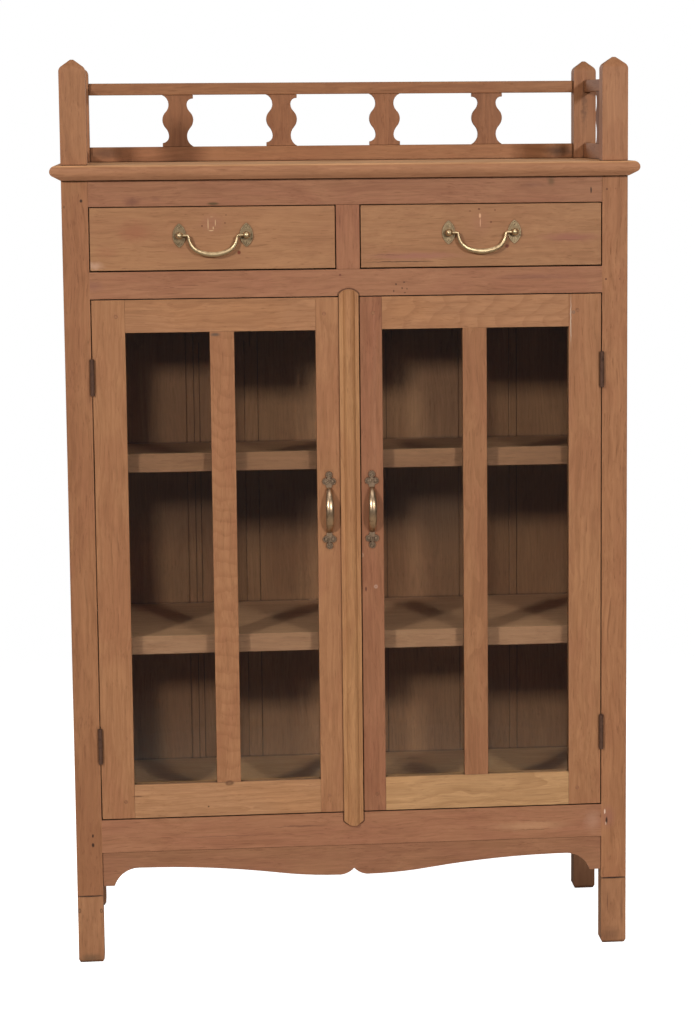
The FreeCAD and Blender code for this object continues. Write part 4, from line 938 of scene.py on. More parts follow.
# Painted shade: the door's top rails take a darker copy of the rail teak, standing in for less light at the
# top of the doors.
SHADED_DOOR_TOP_TEAK = replace(DOOR_RAIL_TEAK, name="shaded_door_top_teak", colour=srgb(157, 111, 77))
SILL_TEAK = replace(DOOR_RAIL_TEAK, name="sill_teak", colour=srgb(177, 135, 93), blush=(1.02, 0.96, 0.88),
                    ring_depth=0.6)
STILE_TEAK = TeakFinish("stile_teak", srgb(156, 109, 74), ring_depth=0.45, marks=DOOR_MARKS)
MUNTIN_TEAK = TeakFinish("muntin_teak", srgb(153, 106, 72), ring_depth=0.5, pitch_mm=8.0, marks=DOOR_MARKS)
MEETING_TEAK = TeakFinish("meeting_teak", srgb(141, 94, 66), blush=(1.0, 0.84, 0.86), marks=DOOR_MARKS)
LEG_TEAK = TeakFinish("leg_teak", srgb(153, 105, 71), streak_depth=0.66, pore_depth=0.45, marks=LEG_MARKS)
STRIP_TEAK = TeakFinish("strip_teak", srgb(163, 117, 77), ring_depth=0.45)
DRAWER_TEAK = TeakFinish("drawer_teak", srgb(152, 108, 74), blush=(0.96, 0.88, 0.90), ring_depth=0.22,
                         streak_depth=0.45, marks=DRAWER_MARKS)
# The top's upward faces take strong painted light, and its corners a little painted shade.
TOP_TEAK = TeakFinish("top_teak", srgb(158, 110, 78), blush=(0.98, 0.98, 0.98), rough=0.66, corner_shade=0.35,
                      top_light=1.1)
GALLERY_TEAK = TeakFinish("gallery_teak", srgb(143, 98, 65), marks=GALLERY_MARKS)
GALLERY_POST_TEAK = replace(GALLERY_TEAK, name="gallery_post_teak", colour=srgb(151, 104, 71))
BALUSTER_TEAK = TeakFinish("baluster_teak", srgb(135, 90, 60), blush=(0.8, 0.74, 0.72), patch_depth=0.75)
# Upward faces inside take painted light, and its marks paint shade across the back boards.
INSIDE_TEAK = TeakFinish("inside_teak", srgb(140, 100, 69), blush=(0.98, 0.86, 0.86), rough=0.62, top_light=1.0,
                         streak_depth=0.42, marks=INSIDE_SHADE_MARKS, slot="teak_inside")
# The lower shelf's upward faces take a little painted light.
PALE_LIPPING_TEAK = TeakFinish("pale_lipping_teak", srgb(161, 118, 87), blush=(0.98, 0.96, 0.96), rough=0.6,
                               top_light=0.3, slot="teak_inside")
LIPPING_TEAK = replace(PALE_LIPPING_TEAK, name="lipping_teak", colour=srgb(137, 96, 67))
LINING_TEAK = TeakFinish("lining_teak", srgb(168, 132, 98), rough=0.62, slot="drawer_lining")
FOOT_TEAK = TeakFinish("foot_teak", srgb(153, 107, 74), blush=(0.78, 0.72, 0.70), patch_depth=0.7,
                       marks=FOOT_MARKS, slot="teak_feet")
PEG_TEAK = TeakFinish("peg_teak", srgb(146, 100, 70), corner_shade=0.3)

# Finishes of the fittings
BRASS = MetalFinish("cast_brass", srgb(204, 178, 138), srgb(130, 98, 66), rough=0.42, dull=0.56,
                    tarnish_share=0.35, slot="aged_brass")
BOW_BRASS = MetalFinish("bow_brass", srgb(196, 166, 134), srgb(106, 76, 52), rough=0.33, dull=0.5,
                        tarnish_share=0.4, slot="aged_brass", pitted=0.05)
DULL_BRASS = MetalFinish("dull_brass", srgb(186, 162, 126), srgb(82, 62, 44), rough=0.44, dull=0.62,
                         tarnish_share=0.7, slot="aged_brass", settled=0.6)
PEWTER_BRASS = MetalFinish("pewter_brass", srgb(176, 150, 124), srgb(80, 58, 44), rough=0.46, dull=0.62,
                           tarnish_share=0.6, slot="aged_brass", settled=0.35)
HINGE_STEEL = MetalFinish("rusted_steel", srgb(88, 61, 47), srgb(46, 29, 21), rough=0.66, dull=0.8,
                          tarnish_share=0.6, slot="hinge_steel", metal=0.1, shine=0.2)
GLASS = GlassFinish("sheet_glass", 0.006)


class Workshop:
    """Turns meshes into pieces of the cabinet: names, finishes, bodies and what they replace."""

    weld = 0.01 * MM
    smooth_below = math.radians(22)
    flat_from = 8 * MM
    flat_angle = math.radians(0.5)
    sharp_from = math.radians(30)
    room_share = 2.5
    board_spread = 0.09
    board_lean = 0.04
    rank_digits = 4

    # Boards cut from the crown of the log, whose rings lean along them and show as arches
    crown_cut = {
        "left_door_muntin": Vector((0.0, 0.3, 0.0)),
        "right_drawer_front": Vector((0.0, 0.22, 0.05)),
        "right_door_top_rail": Vector((0.0, 0.2, 0.06)),
    }
    crown_heart = Vector((0.0, 0.14, 0.0))

    def finished(self, name: str, bm: bmesh.types.BMesh, finish: Finish, body: str,
                 replaces: Sequence[str] = ()) -> None:
        """Make an object from a bmesh and give it its finish and body.

        Args:
            name: the piece's name.
            bm: its shape, which is freed.
            finish: what it is made of.
            body: the moving body that it rides on.
            replaces: the solids that it stands for.
        """
        mesh = bpy.data.meshes.new(name)
        longest = [max(edge.calc_length() for edge in face.edges) for face in bm.faces]
        narrow = [face.calc_area() < self.flat_from * length for face, length in zip(bm.faces, longest)]
        bm.to_mesh(mesh)
        bm.free()
        mesh.set_sharp_from_angle(angle=self.smooth_below)
        mesh.polygons.foreach_set("use_smooth", narrow)
        piece = placed(name, mesh)
        mesh.materials.append(finish.material())
        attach(piece, body)
        if replaces:
            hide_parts(*replaces)
        LOG.info("%s: %d faces, %s, on %s", name, len(mesh.polygons), finish.name, body)

    def boards(self, node: str, finish: Finish, body: str, arris: float,
               shape: Callable[[bmesh.types.BMesh], None] | None = None) -> None:
        """Make the wooden piece for one node: the same boards with eased arrises and a grain each.

        Args:
            node: the name of the solids.
            finish: the wood's finish.
            body: the body that they ride on.
            arris: how far each sharp edge is eased.
            shape: a last change to the boards' shape, before the arrises.
        """
        bm = bmesh.new()
        bm.from_mesh(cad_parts[node].data)
        bmesh.ops.remove_doubles(bm, verts=bm.verts[:], dist=self.weld)
        if shape:
            shape(bm)
        bmesh.ops.dissolve_limit(bm, angle_limit=self.flat_angle, verts=bm.verts[:], edges=bm.edges[:])
        self.lay_grain(bm, node)
        if arris:
            self.ease(bm, arris)
        self.finished(node + "_wood", bm, finish, body, [node])

    def ease(self, bm: bmesh.types.BMesh, arris: float) -> None:
        """Round the sharp edges that have room for it.

        Args:
            bm: the shape.
            arris: how far each edge is eased.
        """
        room = arris * self.room_share
        sharp = []
        for edge in bm.edges:
            if len(edge.link_faces) != 2 or edge.calc_face_angle(0.0) < self.sharp_from:
                continue
            if all(near.calc_length() > room for vert in edge.verts for near in vert.link_edges):
                sharp.append(edge)
        bmesh.ops.bevel(bm, geom=sharp, offset=arris, offset_type="OFFSET", segments=2, profile=0.5,
                        affect="EDGES", clamp_overlap=True, material=-1)

    def lay_grain(self, bm: bmesh.types.BMesh, seed: str) -> None:
        """Store on each board its grain's direction, the heart of its rings, their lean and its tone.

        Args:
            bm: one or more separate boards.
            seed: the word that its chances follow from.
        """
        chance = random.Random(seed)
        grain = bm.verts.layers.float_vector.new("grain")
        heart = bm.verts.layers.float_vector.new("heart")
        lean = bm.verts.layers.float_vector.new("lean")
        tone = bm.verts.layers.float.new("tone")
        for board in self.islands(bm):
            low = Vector([min(vert.co[axis] for vert in board) for axis in range(3)])
            high = Vector([max(vert.co[axis] for vert in board) for axis in range(3)])
            size = high - low
            axis = max(range(3), key=lambda index: size[index])
            direction = Vector([1.0 if index == axis else 0.0 for index in range(3)])
            spread = self.board_spread
            middle = (low + high) / 2 + Vector([chance.uniform(-spread, spread) for _ in range(3)])
            slant = Vector([chance.uniform(-self.board_lean, self.board_lean) for _ in range(3)])
            share = chance.random()
            if seed in self.crown_cut:
                middle, slant = (low + high) / 2 + self.crown_heart, self.crown_cut[seed]
            for vert in board:
                vert[grain] = direction
                vert[heart] = middle
                vert[lean] = slant
                vert[tone] = share

    def islands(self, bm: bmesh.types.BMesh) -> list[list[bmesh.types.BMVert]]:
        """Sort a shape's vertices by board.

        Args:
            bm: one or more separate boards.

        Returns:
            The vertices of each board, from the lowest board up.
        """
        left = set(bm.verts)
        found = []
        while left:
            stack = [left.pop()]
            board = []
            while stack:
                vert = stack.pop()
                board.append(vert)
                for edge in vert.link_edges:
                    other = edge.other_vert(vert)
                    if other in left:
                        left.remove(other)
                        stack.append(other)
            found.append(board)
        found.sort(key=lambda board: min(self.rank(vert) for vert in board))
        return found

    def rank(self, vert: bmesh.types.BMVert) -> tuple[float, ...]:
        """Return a vertex's height and place, rounded, which set its rank."""
        return tuple(round(part, self.rank_digits) for part in vert.co.zxy)

    def keep(self, node: str, finish: Finish) -> None:
        """Keep a solid whose shape is right, and give it its finish.

        Args:
            node: the solid's name.
            finish: what it is made of.
        """
        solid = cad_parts[node]
        solid.data.materials.clear()
        solid.data.materials.append(finish.material())
        LOG.info("%s: kept, %s", node, finish.name)


SHOP = Workshop()


@dataclass(frozen=True)
class Station:
    """One cross-section of a drawn bar: its centre and its two half axes."""

    centre: Vector
    across: Vector
    upright: Vector

    @property
    def place(self) -> Matrix:
        """Return the matrix that lays a unit circle on the section."""
        normal = self.across.cross(self.upright).normalized()
        turned = Matrix((self.across, self.upright, normal)).transposed().to_4x4()
        return Matrix.Translation(self.centre) @ turned


class Forge:
    """Shapes for the metal fittings, each drawn into a bmesh."""

    # A screw's head, as shares of its diameter: half its slot's width, its height and its crown
    screw_sides = 20
    slot_share = 0.09
    head_share = 0.16
    crown_share = 0.1

    def __init__(self) -> None:
        """Start with nothing on the bench."""
        self.bm = bmesh.new()

    def _verts_since(self, before: set[bmesh.types.BMVert]) -> list[bmesh.types.BMVert]:
        """Return the vertices added since the set was taken."""
        return [vert for vert in self.bm.verts if vert not in before]

    def _faces_since(self, before: set[bmesh.types.BMVert]) -> list[bmesh.types.BMFace]:
        """Return the faces added since the set of vertices was taken."""
        return [face for face in self.bm.faces if any(vert not in before for vert in face.verts)]

    @staticmethod
    def _verts_in(grown: Sequence[Any]) -> list[bmesh.types.BMVert]:
        """Return the vertices among what an operator has made."""
        return [item for item in grown if isinstance(item, bmesh.types.BMVert)]

    def bar(self, stations: Sequence[Station], sides: int) -> None:
        """Draw a closed bar through its stations.

        Args:
            stations: its sections in order.
            sides: how many sides each has.
        """
        bm = self.bm
        before = set(bm.verts)
        bmesh.ops.create_circle(bm, segments=sides, radius=1.0, cap_ends=True)
        ring = self._verts_since(before)
        bmesh.ops.transform(bm, matrix=stations[0].place, verts=ring)
        edges = list({edge for vert in ring for edge in vert.link_edges})
        last = stations[0].place
        for station in stations[1:]:
            grown = bmesh.ops.extrude_edge_only(bm, edges=edges)["geom"]
            ring = self._verts_in(grown)
            edges = [item for item in grown if isinstance(item, bmesh.types.BMEdge)
                     and all(vert in ring for vert in item.verts)]
            bmesh.ops.transform(bm, matrix=station.place @ last.inverted(), verts=ring)
            last = station.place
        bmesh.ops.contextual_create(bm, geom=edges)
        bmesh.ops.recalc_face_normals(bm, faces=self._faces_since(before))

    def turned(self, profile: Sequence[tuple[float, float]], centre: Vector, axis: Vector, steps: int
               ) -> None:
        """Turn a profile about an axis.

        Args:
            profile: (radius, distance along the axis) pairs, first and last on the axis.
            centre: where the axis starts.
            axis: its direction.
            steps: how many sides the turned form has.
        """
        bm = self.bm
        before = set(bm.verts)
        side = axis.orthogonal().normalized()
        verts = [bm.verts.new(centre + side * radius + axis * height) for radius, height in profile]
        edges = [bm.edges.new(pair) for pair in zip(verts, verts[1:])]
        bmesh.ops.spin(bm, geom=verts + edges, cent=centre, axis=axis, angle=math.tau, steps=steps,
                       use_merge=True, use_duplicate=False)
        bmesh.ops.remove_doubles(bm, verts=self._verts_since(before), dist=SHOP.weld)
        bmesh.ops.recalc_face_normals(bm, faces=self._faces_since(before))

    def plate(self, outline: Sequence[Vector], thickness: Vector, rim: float, sunk: float) -> None:
        """Make a flat plate with a raised rim.

        Args:
            outline: its corners in order.
            thickness: the way from its back to its front.
            rim: how wide the rim is.
            sunk: how far the middle lies below the rim.
        """
        bm = self.bm
        before = set(bm.verts)
        back = bm.faces.new([bm.verts.new(corner) for corner in outline])
        grown = bmesh.ops.extrude_face_region(bm, geom=[back], use_keep_orig=True)["geom"]
        front = [item for item in grown if isinstance(item, bmesh.types.BMFace)]
        bmesh.ops.translate(bm, vec=thickness, verts=self._verts_in(grown))
        bmesh.ops.recalc_face_normals(bm, faces=self._faces_since(before))
        bmesh.ops.inset_region(bm, faces=front, thickness=rim, depth=0.0, use_even_offset=True)
        bmesh.ops.inset_region(bm, faces=front, thickness=sunk, depth=-sunk, use_even_offset=True)

    def screw(self, centre: Vector, outward: Vector, diameter: float, turn: float) -> None:
        """Add a round screw head with a slot.

        Args:
            centre: the middle of its seat.
            outward: the way that it faces.
            diameter: its width.
            turn: the slot's angle.
        """
        bm = self.bm
        radius = diameter / 2
        before = set(bm.verts)
        bmesh.ops.create_circle(bm, segments=self.screw_sides, radius=radius, cap_ends=True)
        half = diameter * self.slot_share
        for offset in (half, -half):
            faces = self._faces_since(before)
            edges = list({edge for face in faces for edge in face.edges})
            verts = list({vert for face in faces for vert in face.verts})
            bmesh.ops.bisect_plane(bm, geom=verts + edges + faces, plane_co=(0.0, offset, 0.0),
                                   plane_no=(0.0, 1.0, 0.0))
        lands = [face for face in self._faces_since(before) if abs(face.calc_center_median().y) >= half / 2]
        grown = bmesh.ops.extrude_face_region(bm, geom=lands)["geom"]
        raised = self._verts_in(grown)
        bmesh.ops.translate(bm, vec=(0.0, 0.0, diameter * self.head_share), verts=raised)
        for vert in raised:
            bulge = 1.0 - (vert.co.xy.length / radius) ** 2
            vert.co.z += diameter * self.crown_share * bulge
        facing = Vector((0.0, 0.0, 1.0)).rotation_difference(outward).to_matrix().to_4x4()
        place = Matrix.Translation(centre) @ facing @ Matrix.Rotation(turn, 4, "Z")
        bmesh.ops.transform(bm, matrix=place, verts=self._verts_since(before))


def arc_points(centre: Vector, start: Vector, end: Vector, count: int) -> list[Vector]:
    """Return points on the shorter arc from start to end about a centre, with both ends.

    Args:
        centre: the arc's centre.
        start: its first point.
        end: its last point.
        count: how many steps lie between them.

    Returns:
        The points in order.
    """
    first, last = start - centre, end - centre
    whole = first.rotation_difference(last)
    axis, angle = whole.axis, whole.angle
    return [centre + Matrix.Rotation(angle * step / count, 3, axis) @ first for step in range(count + 1)]


@dataclass
class BailHandle:
    """A drop handle: a bent bar that swells to its middle, hung between two roses."""

    side: Side
    spacing: float = 117.5 * MM
    pin_height: float = 1309.5 * MM
    pin_reach: float = 9.5 * MM
    drop: float = 33.7 * MM
    lead: float = 6.5 * MM
    bend_radius: float = 3 * MM
    arm_angle: float = math.radians(78)
    shoulder_radius: float = 27 * MM
    shoulder_angle: float = math.radians(25)
    end_diameter: float = 4.8 * MM
    middle_height: float = 9.0 * MM
    middle_depth: float = 6.4 * MM
    pin_diameter: float = 4.4 * MM
    pin_in: float = 4 * MM
    rose_width: float = 23 * MM
    rose_length: float = 42 * MM
    rose_thickness: float = 2.2 * MM
    boss_diameter: float = 13 * MM
    stem_diameter: float = 8 * MM
    rose_rim: float = 1.6 * MM
    rose_dish: float = 0.6 * MM
    rose_steps: int = 14
    collar_share: float = 1.35
    collar_proud: float = 0.5 * MM
    collar_round: float = 1.2 * MM
    screw_diameter: float = 6.6 * MM
    screw_share: float = 0.63
    screw_sink: float = 0.7 * MM
    screw_turns: tuple[float, float] = (0.5, 1.2)
    turn_spread: float = 0.3
    bend_steps: int = 5
    shoulder_steps: int = 9
    middle_steps: int = 7
    knob_steps: int = 12
    boss_sides: int = 28
    sides: int = 20

    def __post_init__(self) -> None:
        """Take the handle's place from its drawer front."""
        low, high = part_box(self.side.value + "_drawer_front")
        self.middle = Vector(((low.x + high.x) / 2, low.y, self.pin_height))

    @staticmethod
    def rounded(line: list[tuple[float, float, float]], end: float, radius: float, steps: int) -> None:
        """Lengthen the bar's line by a round.

        Args:
            line: (run, drop, heading down) per point, which gets the new points.
            end: the heading at the end of the round.
            radius: how wide the round is.
            steps: how many points it gets.
        """
        run, drop, start = line[-1]
        for step in range(1, steps + 1):
            turn = start + (end - start) * step / steps
            line.append((run + radius * abs(math.sin(turn) - math.sin(start)),
                         drop + radius * abs(math.cos(turn) - math.cos(start)), turn))

    def route(self) -> list[tuple[float, float, float]]:
        """Return half of the bar's line as (run, drop, heading down) from its boss to its middle."""
        steep, shallow, radius = self.arm_angle, self.shoulder_angle, self.shoulder_radius
        start = self.boss_diameter / 2
        line = [(start - self.pin_in, 0.0, 0.0), (start, 0.0, 0.0), (start + self.lead, 0.0, 0.0)]
        self.rounded(line, steep, self.bend_radius, self.bend_steps)
        run, drop, _ = line[-1]
        run_left = self.spacing / 2 - run - radius * (math.sin(steep) - math.sin(shallow))
        drop_left = self.drop - drop - radius * (math.cos(shallow) - math.cos(steep))
        rise = math.tan(shallow / 2)
        arm = (drop_left - rise * run_left) / (1 - rise / math.tan(steep))
        line.append((run + arm / math.tan(steep), drop + arm, steep))
        self.rounded(line, shallow, radius, self.shoulder_steps)
        self.rounded(line, 0.0, (run_left - arm / math.tan(steep)) / math.sin(shallow), self.middle_steps)
        return line[:-1]

    def bar_station(self, run: float, drop: float, turn: float, sign: int) -> Station:
        """Return the bar's section at one point of its line.

        Args:
            run: how far in from the boss the point lies.
            drop: how far below the pin.
            turn: its heading down.
            sign: -1 on the left half and 1 on the right one.

        Returns:
            The section.
        """
        swell = min(1.0, max(0.0, drop / self.drop))
        if run < self.boss_diameter / 2 + self.lead / 2:
            high = deep = self.pin_diameter
        else:
            high = self.end_diameter + (self.middle_height - self.end_diameter) * swell
            deep = self.end_diameter + (self.middle_depth - self.end_diameter) * swell
        x = sign * (self.spacing / 2 - run)
        centre = self.middle + Vector((x, -self.pin_reach, -drop))
        upright = Vector((-sign * math.sin(turn), 0.0, math.cos(turn))) * (high / 2)
        return Station(centre, Vector((0.0, -deep / 2, 0.0)), upright)

    def build_bar(self) -> None:
        """Build the swinging bar."""
        forge = Forge()
        route = self.route()
        stations = [self.bar_station(*point, -1) for point in route]
        stations.append(self.bar_station(self.spacing / 2, self.drop, 0.0, 1))
        stations += [self.bar_station(*point, 1) for point in reversed(route)]
        forge.bar(stations, self.sides)
        name = self.side.value + "_bail"
        SHOP.finished(name + "_bar", forge.bm, BRASS, name, [name])

    def build_roses(self) -> None:
        """Build both roses, their screws and their bosses."""
        plates, bosses = Forge(), Forge()
        half_width, half_height = self.rose_width / 2, self.rose_length / 2
        outward = Vector((0.0, -1.0, 0.0))
        tip = Vector((0.0, 0.0, half_height))
        reach = (half_height ** 2 - half_width ** 2) / (2 * half_width)
        for sign in (-1, 1):
            middle = self.middle + Vector((sign * self.spacing / 2, 0.0, 0.0))
            low, high = middle - tip, middle + tip
            right = arc_points(middle - Vector((reach, 0.0, 0.0)), low, high, self.rose_steps)
            left = arc_points(middle + Vector((reach, 0.0, 0.0)), high, low, self.rose_steps)
            plates.plate(right[:-1] + left[:-1], outward * self.rose_thickness, self.rose_rim, self.rose_dish)
            self.build_boss(bosses, middle, outward)
            for place, turn in zip((1, -1), self.screw_turns):
                seat = middle + tip * place * self.screw_share
                seat += outward * (self.rose_thickness - self.screw_sink)
                plates.screw(seat, outward, self.screw_diameter, turn * (1 + sign * self.turn_spread))
        node, body = self.side.value + "_drawer_roses", self.side.value + "_drawer"
        SHOP.finished(node + "_plates", plates.bm, DULL_BRASS, body, [node])
        SHOP.finished(node + "_bosses", bosses.bm, BRASS, body, [node])

    def build_boss(self, forge: Forge, middle: Vector, outward: Vector) -> None:
        """Add a rose's stem, collar and round knob.

        Args:
            forge: where they are drawn.
            middle: the middle of the rose's back.
            outward: the way that it faces.
        """
        radius, stem = self.boss_diameter / 2, self.stem_diameter / 2
        start = math.asin(stem / radius)
        turns = [start + (math.pi - start) * step / self.knob_steps for step in range(self.knob_steps)]
        knob = [(radius * math.sin(turn), self.pin_reach - radius * math.cos(turn)) for turn in turns]
        wide = stem * self.collar_share
        collar = [(0.0, 0.0), (wide, 0.0), (wide, self.rose_thickness + self.collar_proud),
                  (stem, self.rose_thickness + self.collar_round)]
        forge.turned(collar + knob + [(0.0, self.pin_reach + radius)], middle, outward, self.boss_sides)


@dataclass
class BowPull:
    """A cast bow pull between two trefoil plates, screwed to a meeting stile."""

    side: Side
    height: float = 817 * MM
    length: float = 140 * MM
    reach: float = 26.8 * MM
    plate_thickness: float = 3 * MM
    lobe_diameter: float = 12 * MM
    lobe_spread: float = 12.4 * MM
    lobe_drop: float = 12 * MM
    neck_width: float = 12 * MM
    web_share: float = 0.62
    bow_span: float = 86 * MM
    bow_width: float = 14.6 * MM
    bow_depth: float = 8.4 * MM
    end_share: float = 0.55
    swell_power: float = 1.3
    sides: int = 24
    stations: int = 28
    neck_sides: int = 16
    lobe_sides: int = 28
    stud_sides: int = 20
    stud_share: float = 0.42
    screw_share: float = 0.95
    screw_turn: float = 0.4
    dish_share: float = 0.4

    # A lobe and its stud, as shares of their radius and of the rim's height, and the neck's widths
    lobe_shares: tuple[Range, ...] = (
        (0.0, 0.0), (1.0, 0.0), (1.0, 0.7), (0.93, 1.0), (0.78, 1.0), (0.68, 0.4), (0.0, 0.4))
    stud_shares: tuple[Range, ...] = ((0.0, 0.0), (1.0, 0.6), (0.8, 0.84), (0.0, 0.9))
    neck_shares: tuple[float, ...] = (0.3, 0.5, 1.0, 0.7, 0.6)

    def __post_init__(self) -> None:
        """Take the pull's place from its solid."""
        low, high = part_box(self.side.value + "_door_pull")
        self.middle = Vector(((low.x + high.x) / 2, high.y, self.height))

    def build(self) -> None:
        """Build the bow and, as a duller casting, its two end plates."""
        forge, ends = Forge(), Forge()
        half = (self.bow_span - self.bow_depth) / 2
        reach = self.reach - self.bow_depth / 2
        radius = (half ** 2 + reach ** 2) / (reach * 2)
        limit = math.asin(half / radius)
        stations = []
        for step in range(self.stations + 1):
            turn = limit * (2 * step / self.stations - 1)
            share = self.end_share + (1 - self.end_share) * math.cos(turn) ** self.swell_power
            outward = Vector((0.0, -math.cos(turn), math.sin(turn)))
            centre = self.middle + Vector((0.0, radius - reach, 0.0)) + outward * radius
            across = Vector((self.bow_width * share / 2, 0.0, 0.0))
            stations.append(Station(centre, across, outward * (self.bow_depth * share / 2)))
        forge.bar(stations, self.sides)
        for sign in (1, -1):
            self.build_trefoil(ends, sign)
        node, body = self.side.value + "_door_pull", self.side.value + "_door"
        SHOP.finished(node + "_bow", forge.bm, BOW_BRASS, body, [node])
        SHOP.finished(node + "_ends", ends.bm, PEWTER_BRASS, body, [node])

    def build_trefoil(self, forge: Forge, sign: int) -> None:
        """Add one end plate: three ringed lobes, their studs and the neck.

        Args:
            forge: where it is drawn.
            sign: 1 for the upper end and -1 for the lower one.
        """
        outward = Vector((0.0, -1.0, 0.0))
        rim, radius, spread = self.plate_thickness, self.lobe_diameter / 2, self.lobe_spread / 2
        stud = radius * self.stud_share
        top = self.length / 2 - radius
        side = top - self.lobe_drop
        for x, z, screwed in ((0.0, top, True), (-spread, side, False), (spread, side, False)):
            seat = self.middle + Vector((x, 0.0, sign * z))
            lobe = [(radius * wide, rim * high) for wide, high in self.lobe_shares]
            forge.turned(lobe, seat, outward, self.lobe_sides)
            if screwed:
                forge.screw(seat + outward * rim * self.dish_share, outward, radius * self.screw_share,
                            self.screw_turn * sign)
            else:
                profile = [(stud * wide, rim * high) for wide, high in self.stud_shares]
                forge.turned(profile, seat, outward, self.stud_sides)
        end = self.bow_span / 2 - self.bow_depth / 2
        heights = (top - radius / 2, side + radius / 2, side - radius, end, end - radius / 2)
        across = Vector((self.neck_width / 2, 0.0, 0.0))
        deep = Vector((0.0, -rim * self.web_share / 2, 0.0))
        forge.bar([Station(self.middle + deep + Vector((0.0, 0.0, sign * z)), across * share, deep)
                   for z, share in zip(heights, self.neck_shares)], self.neck_sides)


@dataclass
class Drawer:
    """A drawer: its front, the dovetailed box behind it and its handle."""

    side: Side
    arris: float = 0.8 * MM

    def build(self) -> None:
        """Build and dress the drawer."""
        prefix, body = self.side.value, self.side.value + "_drawer"
        SHOP.boards(prefix + "_drawer_front", DRAWER_TEAK, body, self.arris)
        SHOP.boards(prefix + "_drawer_box", LINING_TEAK, body, 0.0)
        SHOP.boards(prefix + "_drawer_bottom", LINING_TEAK, body, 0.0)
        handle = BailHandle(self.side)
        handle.build_roses()
        handle.build_bar()


@dataclass
class Door:
    """A glazed door: frame, muntin, pegs, panes, beads, hinge leaves and pull."""

    side: Side
    arris: float = 0.8 * MM
    bead_arris: float = 0.5 * MM
    strip_arris: float = 0.6 * MM

    def build(self) -> None:
        """Build and dress the door."""
        prefix, body = self.side.value, self.side.value + "_door"
        left = self.side is Side.LEFT
        timbers = {
            "_hinge_stile": STILE_TEAK,
            "_meeting_stile": STILE_TEAK if left else MEETING_TEAK,
            "_door_top_rail": SHADED_DOOR_TOP_TEAK,
            "_door_bottom_rail": DOOR_RAIL_TEAK if left else SILL_TEAK,
            "_door_muntin": MUNTIN_TEAK,
        }
        for name, finish in timbers.items():
            SHOP.boards(prefix + name, finish, body, self.arris)
        SHOP.boards(prefix + "_door_pegs", PEG_TEAK, body, 0.0)
        SHOP.boards(prefix + "_glazing_beads", INSIDE_TEAK, body, self.bead_arris)
        SHOP.keep(prefix + "_door_panes", GLASS)
        SHOP.keep(prefix + "_hinge_leaves", HINGE_STEEL)
        if left:
            SHOP.boards("meeting_strip", STRIP_TEAK, body, self.strip_arris)
        BowPull(self.side).build()


@dataclass
class Gallery:
    """The low gallery round the top."""

    arris: float = 1.2 * MM
    baluster_arris: float = 0.8 * MM

    def build(self) -> None:
        """Dress the gallery's posts, rails and balusters."""
        SHOP.boards("gallery_posts", GALLERY_POST_TEAK, "carcass", self.arris)
        SHOP.boards("gallery_bottom_rails", GALLERY_TEAK, "carcass", self.arris)
        SHOP.boards("gallery_top_rails", GALLERY_TEAK, "carcass", self.arris)
        SHOP.boards("gallery_balusters", BALUSTER_TEAK, "carcass", self.baluster_arris)


@dataclass
class Carcass:
    """Legs, rails, sides, back, top, floor, shelves and drawer runners."""

    arris: float = 0.9 * MM
    nosing_tip_drop: float = 10.5 * MM
    nosing_set_back: float = 0.45
    crisp: tuple[str, ...] = ("drawer_rail", "bottom_front_rail")
    finishes: dict[str, TeakFinish] = field(default_factory=lambda: {
        "front_left_leg": LEG_TEAK, "front_right_leg": LEG_TEAK, "rear_left_leg": LEG_TEAK,
        "rear_right_leg": LEG_TEAK, "spliced_feet": FOOT_TEAK, "top_front_rail": RAIL_TEAK,
        "drawer_rail": RAIL_TEAK, "bottom_front_rail": RAIL_TEAK, "drawer_divider": DIVIDER_TEAK,
        "apron": APRON_TEAK, "top_board": TOP_TEAK, "left_side_rails": STILE_TEAK,
        "right_side_rails": STILE_TEAK, "left_side_panels": STILE_TEAK, "right_side_panels": STILE_TEAK,
        "rear_rails": INSIDE_TEAK, "back_boards": INSIDE_TEAK, "floor_board": INSIDE_TEAK,
        "upper_shelf": LIPPING_TEAK, "lower_shelf": PALE_LIPPING_TEAK, "door_stop": INSIDE_TEAK,
        "shelf_bearers": INSIDE_TEAK, "drawer_runners": INSIDE_TEAK, "drawer_kickers": INSIDE_TEAK,
    })

    def straighten_nosing(self, bm: bmesh.types.BMesh) -> None:
        """Bring the underside of the top's front moulding out, so that its face is nearly plumb.

        Args:
            bm: the top.
        """
        low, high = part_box("top_board")
        overhang, tip_height = FRONT_MM * MM - low.y, high.z - self.nosing_tip_drop
        for vert in bm.verts:
            if vert.co.y < FRONT_MM * MM + SHOP.weld and vert.co.z < tip_height:
                share = (tip_height - vert.co.z) / (tip_height - low.z)
                vert.co.y = low.y + overhang * self.nosing_set_back * share ** 2

    def build(self) -> None:
        """Dress every wooden piece that doesn't move, and the hinge leaves on the legs."""
        for node, finish in self.finishes.items():
            shape = self.straighten_nosing if node == "top_board" else None
            SHOP.boards(node, finish, "carcass", 0.0 if node in self.crisp else self.arris, shape)
        SHOP.keep("hinge_frame_leaves", HINGE_STEEL)


